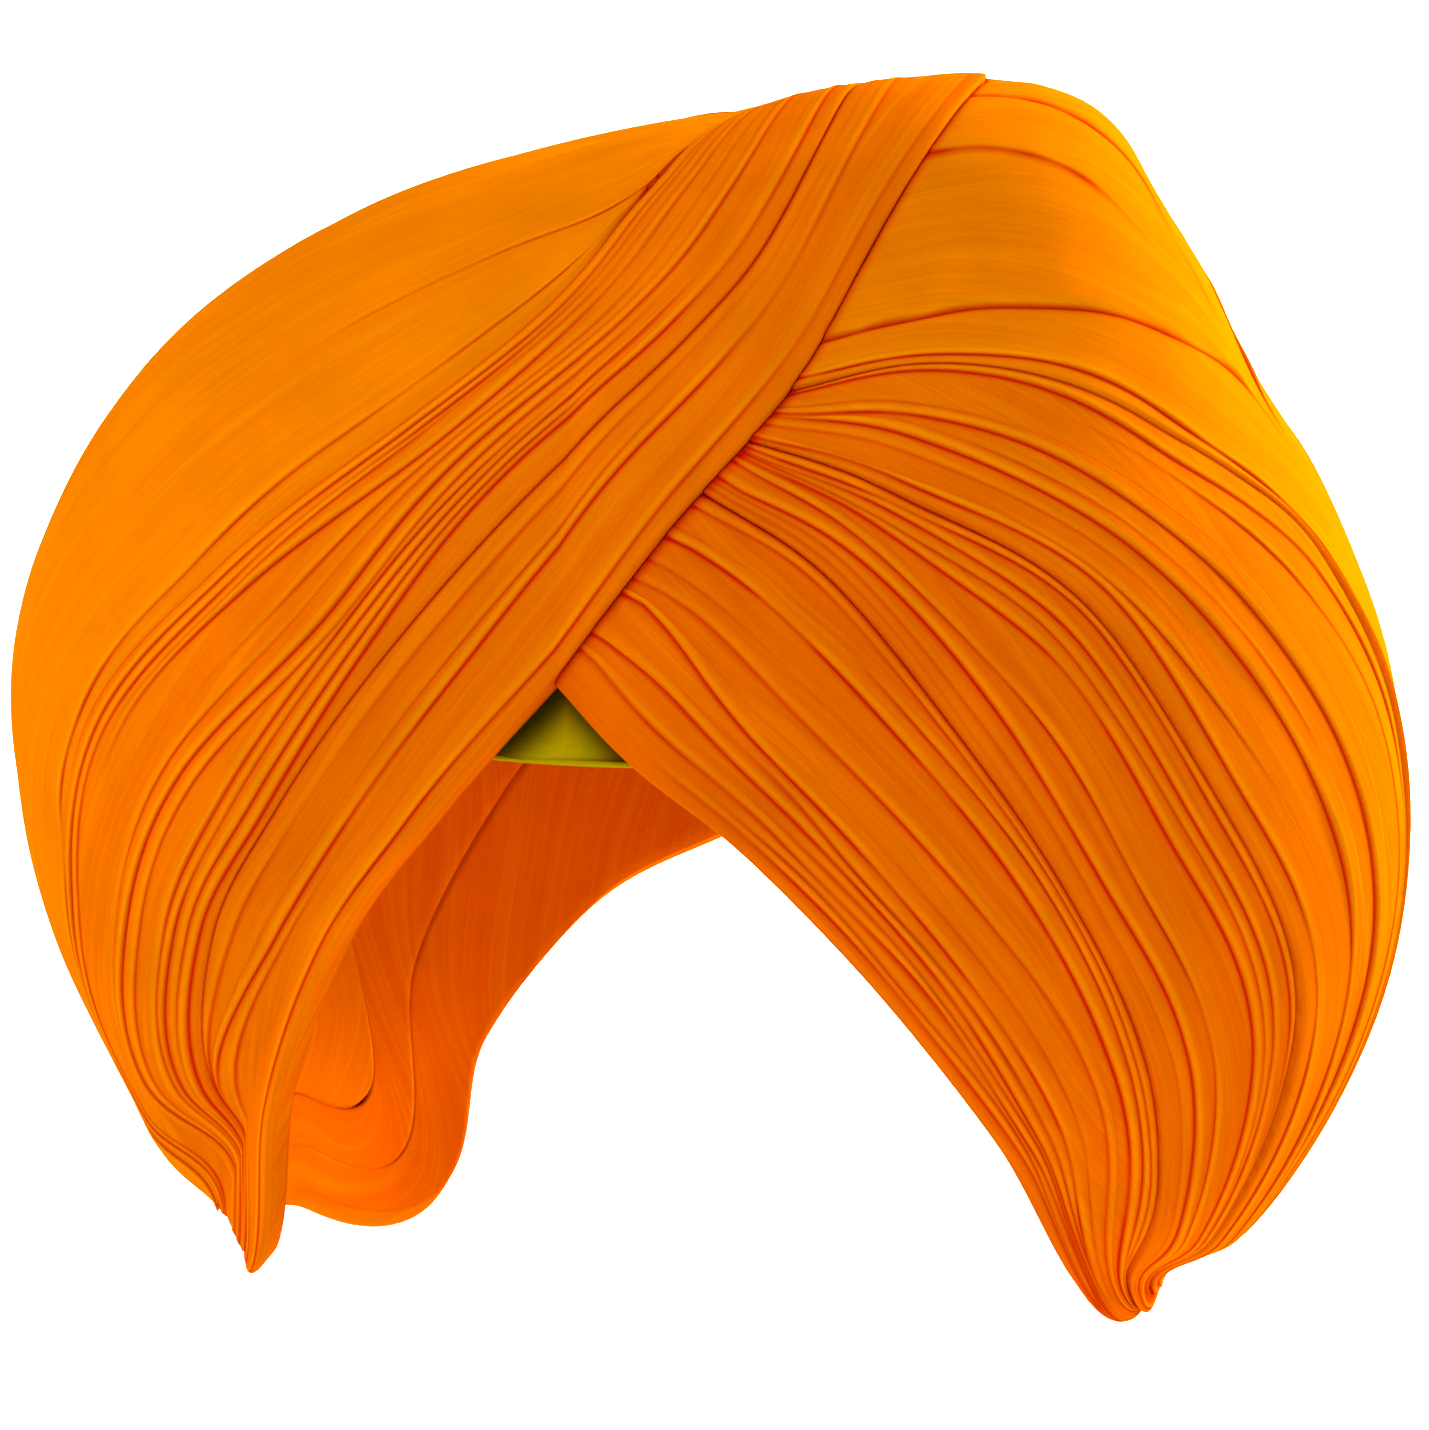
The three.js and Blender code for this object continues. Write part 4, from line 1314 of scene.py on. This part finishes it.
@dataclass
class HoopLap(PleatedStrip):
    """A hoop of the right side between two places across its family."""

    family: HoopFamily | None = None
    start: float = 0.0
    stop: float = 1.0
    band_lift: float = 1.0
    ear_lift: float = 6.0
    ear_reach: float = 0.55
    ring: bool = True
    calm_start: float = 6.0
    calm_run: float = 1.4
    calm_share: float = 0.65
    hem: float = 0.0
    hem_depth: float = 0.7
    rim_round: float = 3.0
    hem_round: float = 0.9

    def __post_init__(self) -> None:
        """Keeps the folds that lie on this hoop, as places across it, after its hem."""
        self.at_rim = self.start == 0
        span = self.stop - self.start
        self.folds = tuple(
            Fold(tuple((p - self.start) / span for p in f.places), f.depth, f.kind, f.reach)
            for f in self.folds if self.start < f.places[0] < self.stop
        )
        if self.hem:
            self.folds = (Fold(tuple(0.0 for _ in self.keys), self.hem_depth), *self.folds)

    def stations(self) -> Array:
        """Stations once round the hoop."""
        return np.linspace(0, self.family.count, self.sections, endpoint=False)

    def turn(self, station: Array) -> Array:
        """Share of the way round."""
        return station / self.family.count

    def key_station(self, station: Array) -> Array:
        """Stations away from the ear."""
        return np.minimum(station, self.family.count - station)

    def toward(self, station: Array, place: Array) -> Array:
        """Directions on this hoop."""
        return self.family.toward(station, self.start + (self.stop - self.start) * place)

    def main_places(self, station: Array) -> Array:
        """Places of the folds, the hem's line an even way in from the edge.

        Args:
            station: Stations round the hoop.

        Returns:
            Places, a column for each fold.
        """
        places = super().main_places(station)
        if self.hem:
            places[:, 0] = np.minimum(self.hem / self.widths(station), 0.6 * places[:, 1])
        return places

    def on_top(self, station: Array) -> Array:
        """How far the hoop lies over the left side: 0 along the face, 1 past the peak."""
        return smooth((self.key_station(station) - self.family.apex + 1) / 2)

    def lift(self, station: Array, place: Array) -> Array:
        """Raised where it crosses the other laps, and gathered full at the ear.

        Args:
            station: Stations round the hoop.
            place: Places across it.

        Returns:
            Lifts in millimetres.
        """
        share = 1.0 if self.start == 0 else 1 - place
        off = (self.key_station(station) - 1) / self.ear_reach
        ear = self.ear_lift * (self.start + (self.stop - self.start) * place) ** 2 * np.exp(-off ** 2)
        return ear + self.band_lift * self.on_top(station) * share

    def calm(self, station: Array) -> Array:
        """Drawn tight over the crown."""
        return 1 - self.calm_share * smooth((self.key_station(station) - self.calm_start) / self.calm_run)

    def edge_rounding(self, station: Array) -> Array:
        """A full roll along the face edge and a thin folded edge where it crosses.

        Args:
            station: Stations round the hoop.

        Returns:
            Radii in millimetres.
        """
        if self.start > 0:
            return np.full_like(station, self.edge_round)
        share = smooth(self.key_station(station) - self.family.apex + 1)
        return self.rim_round + (self.hem_round - self.rim_round) * share


@dataclass
class CrownSpread(PleatedStrip):
    """Cloth spread from the ear over one side of the crown."""

    lines: SpreadLines | None = None
    ear_gap: float = 0.004
    crown_gap: float = 0.0012
    tuck_depth: float = 0.4
    tuck_start: float = 0.9
    ear_lift: float = 0.0
    ear_run: float = 5.0
    ear_reach: float = 1.0
    edge_lift: float = 0.0
    edge_reach: float = 0.05
    end_shade_strength: float = 0.8
    end_reach: float = 0.008

    def __post_init__(self) -> None:
        """Repeats the front folds at the back."""
        behind = tuple(
            Fold(tuple(1 - p for p in f.places), f.depth, f.kind, f.reach) for f in reversed(self.folds)
        )
        self.folds = (*self.folds, *behind)

    def stations(self) -> Array:
        """Stations from the ear to the crown."""
        return np.linspace(self.ear_gap, 1 - self.crown_gap, self.sections)

    def turn(self, station: Array) -> Array:
        """Share of the way to the crown."""
        return station

    def key_station(self, station: Array) -> Array:
        """The fold table runs from the ear to the crown as well."""
        return station

    def end_shade(self, station: Array) -> Array:
        """Painted shade where the cloth goes in under the hoop at the crown."""
        return self.end_shade_strength * np.exp(-(((1 - station) / self.end_reach) ** 2))

    def toward(self, station: Array, place: Array) -> Array:
        """Directions on this spread."""
        return self.lines.toward(station, place)

    def lift(self, station: Array, place: Array) -> Array:
        """Tucked in under the hoop at the crown, and lifted or lowered along its edges.

        Args:
            station: Places from the ear to the crown.
            place: Places across the spread.

        Returns:
            Lifts in millimetres.
        """
        tuck = -self.tuck_depth * smooth((station - self.tuck_start) / (1 - self.tuck_start))
        near = 1 - smooth(np.minimum(place, 1 - place) / self.edge_reach)
        off = (self.ear_run * station) ** 2 + (2 * np.minimum(place, 1 - place)) ** 2
        ear = self.ear_lift * np.exp(-off / self.ear_reach ** 2)
        return tuck + ear + self.edge_lift * near


@dataclass
class RolledHem:
    """A thin roll of cloth along an edge, swept along its path by geometry nodes."""

    name: str
    slot: str
    path: Array
    radius: float
    finish: ClothFinish
    sides: int = 8

    def tree(self) -> bpy.types.GeometryNodeTree:
        """Node tree that sweeps a round roll along the path.

        Returns:
            The tree, with inputs named Radius, Sides and Cloth.
        """
        tree = bpy.data.node_groups.new("rolled_hem", "GeometryNodeTree")
        sockets = (
            ("Path", "INPUT", "NodeSocketGeometry"), ("Radius", "INPUT", "NodeSocketFloat"),
            ("Sides", "INPUT", "NodeSocketInt"), ("Cloth", "INPUT", "NodeSocketMaterial"),
            ("Hem", "OUTPUT", "NodeSocketGeometry"),
        )
        for name, side, kind in sockets:
            tree.interface.new_socket(name=name, in_out=side, socket_type=kind)
        given = add_node(tree, "NodeGroupInput").outputs
        curve = add_node(tree, "GeometryNodeMeshToCurve", {"Mesh": given["Path"]})
        ring = add_node(
            tree, "GeometryNodeCurvePrimitiveCircle",
            {"Resolution": given["Sides"], "Radius": given["Radius"]}, mode="RADIUS",
        )
        swept = add_node(
            tree, "GeometryNodeCurveToMesh",
            {"Curve": curve.outputs["Curve"], "Profile Curve": ring.outputs["Curve"]},
            inputs={"Fill Caps": True},
        )
        smoothed = add_node(tree, "GeometryNodeSetShadeSmooth", {"Geometry": swept.outputs["Mesh"]})
        real = add_node(tree, "GeometryNodeRealizeInstances", {"Geometry": smoothed.outputs["Geometry"]})
        dyed = add_node(
            tree, "GeometryNodeSetMaterial",
            {"Geometry": real.outputs["Geometry"], "Material": given["Cloth"]},
        )
        add_node(tree, "NodeGroupOutput", {"Hem": dyed.outputs["Geometry"]})
        return tree

    def build(self) -> bpy.types.Object:
        """Sweeps the roll and keeps it as a plain mesh.

        Returns:
            The finished object at the origin.
        """
        source = bpy.data.meshes.new(f"{self.name}_path")
        count = len(self.path)
        edges = [(k, (k + 1) % count) for k in range(count)]
        source.from_pydata((self.path * MM).tolist(), edges, [])
        holder = bpy.data.objects.new(f"{self.name}_path", source)
        bpy.context.scene.collection.objects.link(holder)
        modifier = holder.modifiers.new("hem", "NODES")
        tree = self.tree()
        modifier.node_group = tree
        keys = {item.name: item.identifier for item in tree.interface.items_tree if item.in_out == "INPUT"}
        modifier[keys["Radius"]] = self.radius * MM
        modifier[keys["Sides"]] = self.sides
        modifier[keys["Cloth"]] = self.finish.material()
        holder.update_tag()
        graph = bpy.context.evaluated_depsgraph_get()
        mesh = bpy.data.meshes.new_from_object(holder.evaluated_get(graph))
        mesh.name = self.name
        holder.modifiers.remove(modifier)
        bpy.data.objects.remove(holder)
        bpy.data.meshes.remove(source)
        bpy.data.node_groups.remove(tree)
        made = bpy.data.objects.new(self.name, mesh)
        bpy.context.scene.collection.objects.link(made)
        return made

    def dress(self, made: bpy.types.Object) -> None:
        """Gives the hem its place in the frame."""
        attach(made, "root")


@dataclass
class UnderCloth:
    """The thin band tied round the head under the wrap."""

    form: WoundForm
    finish: ClothFinish
    node: str = "under_cloth"
    lower: float = 5.6
    upper: float = 36.0
    turns: int = 240
    rows: int = 40
    shade_reach: float = 6.0
    crumple: float = 0.2
    crumple_pitch: float = 16.0
    darkest: float = 0.95
    outer_play: float = 0.25
    inner_play: float = 0.05
    flat: tuple[float, float] = (0.052, 0.56)

    def edge(self, lift: float) -> Array:
        """Points along the lower edge, a little out from the band's middle.

        Args:
            lift: How far out from the hollow.

        Returns:
            Points once round the head.
        """
        azimuth = np.linspace(0, 360, self.turns, endpoint=False)
        dirs = direction(azimuth, self.lower)
        return dirs * (self.form.hollow.radius(dirs) + lift)[:, None]

    def build(self) -> bpy.types.Object:
        """Builds the band as a closed thin sheet.

        Returns:
            The finished object at the origin.
        """
        turn = np.arange(self.turns) / self.turns
        shares = np.linspace(0, 1, self.rows)
        elevation = self.lower + (self.upper - self.lower) * shares
        dirs = direction(360 * turn[:, None], elevation[None, :])
        radius = self.form.hollow.radius(dirs)
        across = np.radians(elevation - self.lower)[None, :] * radius
        ripple = Ripple(41, 10, 22).over(turn[:, None] + 0 * across, across, self.crumple_pitch)
        azimuth, _ = angles_of(dirs)
        # Painted shade: the band darkens towards where it goes in under the laps' face edge.
        covered = elevation[None, :] - self.form.rim_elevation(azimuth) + self.shade_reach
        shaded = self.darkest * smooth(covered / self.shade_reach)
        wall = self.form.under_cloth_wall
        outer = radius + wall - self.outer_play + self.crumple * (ripple - 1)
        inner = radius[:, ::-1] + self.inner_play
        loop = np.concatenate([dirs * outer[..., None], dirs[:, ::-1] * inner[..., None]], axis=1)
        index = np.arange(loop.shape[0] * loop.shape[1]).reshape(loop.shape[:2])
        rows = np.concatenate([index, index[:1]])
        rows = np.concatenate([rows, rows[:, :1]], axis=1)
        quads = np.stack([rows[:-1, :-1], rows[1:, :-1], rows[1:, 1:], rows[:-1, 1:]], axis=-1).reshape(-1, 4)
        points = loop.reshape(-1, 3)
        lengths = np.linspace(0, self.flat[1], self.turns + 1)
        widths = np.linspace(0, 2 * self.flat[0], loop.shape[1] + 1)
        grid = np.stack(np.meshgrid(lengths, widths, indexing="ij"), axis=-1)
        uv = np.stack([grid[:-1, :-1], grid[1:, :-1], grid[1:, 1:], grid[:-1, 1:]], axis=2).reshape(-1, 2)
        if volume_of(points, quads) < 0:
            quads = quads[:, ::-1]
            uv = uv.reshape(-1, 4, 2)[:, ::-1].reshape(-1, 2)
        made = make_mesh(f"{self.node}_band", points, quads, np.zeros((0, 3), int), uv)
        layer = made.data.attributes.new("fold", "FLOAT", "POINT")
        shade = np.concatenate([shaded, np.zeros_like(shaded)], axis=1)
        layer.data.foreach_set("value", shade.astype(np.float32).ravel())
        return made

    def dress(self, made: bpy.types.Object, hem: bpy.types.Object) -> None:
        """Gives the band its cloth and its place in the frame.

        Args:
            made: The band.
            hem: The roll along its lower edge; not used.
        """
        made.data.materials.append(self.finish.material())
        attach(made, "root")
        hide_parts(self.node)


# Studio


@dataclass(frozen=True)
class SoftLight:
    """A square soft light, placed by its direction from the point that it looks at."""

    name: str
    azimuth: float
    elevation: float
    distance: float
    size: float
    power: float
    target: tuple[float, float, float] = (0.0, 0.0, 0.0)
    spread: float = 180.0

    def build(self) -> bpy.types.Object:
        """Adds the light to the scene.

        Returns:
            The light.
        """
        data = bpy.data.lights.new(self.name, "AREA")
        data.energy = self.power
        data.size = self.size
        data.spread = math.radians(self.spread)
        made = bpy.data.objects.new(self.name, data)
        out = Vector(direction(self.azimuth, self.elevation).tolist())
        made.location = Vector(self.target) + out * self.distance
        made.rotation_euler = out.to_track_quat("Z", "Y").to_euler()
        bpy.context.scene.collection.objects.link(made)
        return made


@dataclass(frozen=True)
class Studio:
    """Plain pale floor, soft light and a camera at the photograph's angle."""

    form: WoundForm
    floor_height: float = -0.25
    floor_size: float = 24.0
    floor_color: str = "E6E6E6"
    distance: float = 6.0
    sensor: float = 36.0
    frame_height: float = 0.26026
    far_clip: float = 60.0
    floor_roughness: float = 0.95
    centre: tuple[float, float] = (1.5, -1.8)
    sky: float = 0.38
    lights: tuple[SoftLight, ...] = (
        SoftLight("front", -8, 48, 2.0, 1.4, 16.0),
        SoftLight("key", 75, 45, 1.3, 0.5, 2.0),
        SoftLight("rim", 155, 14, 1.3, 0.5, 46.0),
        SoftLight("fill", -85, 15, 1.5, 0.9, 9.5),
        SoftLight("floor_wash", 0, 90, 1.6, 1.6, 85.0, (-0.4, 1.75, -0.25), 45.0),
    )

    def floor(self) -> bpy.types.Object:
        """Adds the floor.

        Returns:
            The floor.
        """
        half = self.floor_size / 2
        mesh = bpy.data.meshes.new("floor")
        corners = [(-half, -half), (half, -half), (half, half), (-half, half)]
        mesh.from_pydata([(x, y, self.floor_height) for x, y in corners], [], [(0, 1, 2, 3)])
        paper = bpy.data.materials.new("matte_paper_floor")
        paper.use_nodes = True
        shader = paper.node_tree.nodes["Principled BSDF"]
        shader.inputs["Base Color"].default_value = srgb(self.floor_color)
        shader.inputs["Roughness"].default_value = self.floor_roughness
        shader.inputs["Specular IOR Level"].default_value = 0.0
        mesh.materials.append(paper)
        made = bpy.data.objects.new("floor", mesh)
        bpy.context.scene.collection.objects.link(made)
        return made

    def camera(self) -> bpy.types.Object:
        """Adds the camera.

        Returns:
            The camera, set as the scene's own.
        """
        right, up, near = (Vector(axis.tolist()) for axis in self.form.sheet_axes())
        target = (right * self.centre[0] + up * self.centre[1]) * MM
        data = bpy.data.cameras.new("camera")
        data.sensor_width = self.sensor
        data.lens = self.sensor * self.distance / self.frame_height
        data.clip_end = self.far_clip
        made = bpy.data.objects.new("camera", data)
        made.location = target + near * self.distance
        made.rotation_euler = near.to_track_quat("Z", "Y").to_euler()
        bpy.context.scene.collection.objects.link(made)
        bpy.context.scene.camera = made
        return made

    def build(self) -> None:
        """Sets the whole studio."""
        self.camera()
        self.floor()
        for light in self.lights:
            light.build()
        world = bpy.data.worlds.new("studio")
        world.use_nodes = True
        background = world.node_tree.nodes["Background"]
        background.inputs["Color"].default_value = (1.0, 1.0, 1.0, 1.0)
        background.inputs["Strength"].default_value = self.sky
        bpy.context.scene.world = world
        bpy.context.scene.view_settings.view_transform = "Standard"


# The turban


@dataclass
class Turban:
    """All the pieces, wound in order."""

    form: WoundForm = field(default_factory=WoundForm)

    def __post_init__(self) -> None:
        """Sets the families of lines on the form."""
        self.hoop = HoopFamily(self.form)
        self.left = LeftFamily(self.form, self.hoop)

    def left_spread_lines(self) -> SpreadLines:
        """Edges of the left spread: the top lap's upper line and the hoop's edge over the crown.

        Returns:
            The four edges.
        """
        reach = self.left.ear - 1

        def crown(c: Array) -> Array:
            """The hoop's edge from the front to the back."""
            return self.hoop.toward(7 + (self.hoop.count - 14) * c, 0)

        return SpreadLines(
            front=lambda t: self.left.toward(reach * (1 - t), 1),
            back=lambda t: self.left.toward(self.left.last - reach * (1 - t), 1),
            ear_edge=lambda c: self.left.toward(self.left.ear + 2 * c - 1, 1),
            crown_edge=crown,
        )

    def right_spread_lines(self) -> SpreadLines:
        """Edges of the right spread: all on the hoop's upper line.

        Returns:
            The four edges.
        """
        count = self.hoop.count
        return SpreadLines(
            front=lambda t: self.hoop.toward(1 + 7 * t, 1),
            back=lambda t: self.hoop.toward(count - 1 - 7 * t, 1),
            ear_edge=lambda c: self.hoop.toward(1 - 2 * c, 1),
            crown_edge=lambda c: self.hoop.toward(8 + 2 * c, 1),
        )

    def strips(self) -> list[PleatedStrip]:
        """All pleated pieces, the lowest laps first.

        Returns:
            The strips, ready to build.
        """
        laps = (
            ("left_lap_1", 0.0, 0.32, 118, 11, 4.4, (0.06, 0.44), VOILE_IN_PAINTED_SHADE, "under_cloth"),
            ("left_lap_2", 0.32, 0.6, 132, 12, 2.6, (0.06, 0.45), VOILE_IN_PAINTED_SHADE, "left_lap_1"),
            ("left_lap_3", 0.6, 1.0, 138, 13, 4.0, (0.08, 0.46), VOILE_IN_PAINTED_HALF_SHADE, "left_lap_2"),
        )
        made: list[PleatedStrip] = [
            LeftLap(
                node, self.form, LEFT_FOLDS, LEFT_KEYS, 420, columns, seed, finish, flat, below,
                fine_pitch=pitch, family=self.left, start=start, stop=stop,
            )
            for node, start, stop, columns, seed, pitch, flat, finish, below in laps
        ]
        made.append(CrownSpread(
            "left_spread", self.form, LEFT_SPREAD_FOLDS, SPREAD_KEYS, 150, 240, 21, VOILE_IN_PAINTED_LIGHT,
            (0.13, 0.24), "left_lap_3", "stretched", inner_columns=40, fine_pitch=40.0, fine_depth=0.2,
            fade=0.12, swell=0.25, swell_waves=2,
            lines=self.left_spread_lines(), edge_lift=0.5, ear_lift=3.5,
        ))
        made.append(CrownSpread(
            "right_spread", self.form, RIGHT_SPREAD_FOLDS, SPREAD_KEYS, 190, 270, 22, VOILE_IN_PAINTED_LIGHT,
            (0.18, 0.3), "right_lap", "stretched", 0.6, inner_columns=44, fine_pitch=30.0, fine_depth=0.2,
            fade=0.15, swell=0.25, swell_waves=2,
            lines=self.right_spread_lines(), edge_lift=-1.0, ear_lift=6.0,
            ear_run=7.0, ear_reach=0.55,
        ))
        made.append(HoopLap(
            "right_lap", self.form, HOOP_FOLDS, HOOP_KEYS, 560, 118, 31, VOILE_IN_PAINTED_HALF_SHADE, (0.065, 0.7),
            "right_spread", fine_pitch=3.0, depth_share=0.55, family=self.hoop, start=0.45, stop=1.0,
        ))
        made.append(HoopLap(
            "final_lap", self.form, HOOP_FOLDS, HOOP_KEYS, 560, 88, 32, VOILE_IN_PAINTED_HALF_SHADE, (0.05, 0.7),
            "right_lap", fine_pitch=8.0, fine_depth=0.15, depth_share=0.5, family=self.hoop,
            start=0.0, stop=0.45, hem=3.3,
        ))
        return made


def main() -> None:
    """Builds, dresses and reports every piece."""
    logging.basicConfig(level=logging.INFO, format="%(name)s: %(message)s", force=True)
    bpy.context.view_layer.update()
    turban = Turban()
    Studio(turban.form).build()
    under = UnderCloth(turban.form, OLIVE_POPLIN)
    band = under.build()
    roll = RolledHem("under_cloth_hem", "under_cloth", under.edge(0.9), 0.55, OLIVE_POPLIN)
    roll_mesh = roll.build()
    roll.dress(roll_mesh)
    under.dress(band, roll_mesh)
    LOG.info("%s: %d faces", band.name, len(band.data.polygons))
    for strip in turban.strips():
        made = strip.build()
        strip.dress(made)
        LOG.info("%s: %d faces", made.name, len(made.data.polygons))
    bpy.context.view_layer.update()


if __name__ == "__main__":
    main()
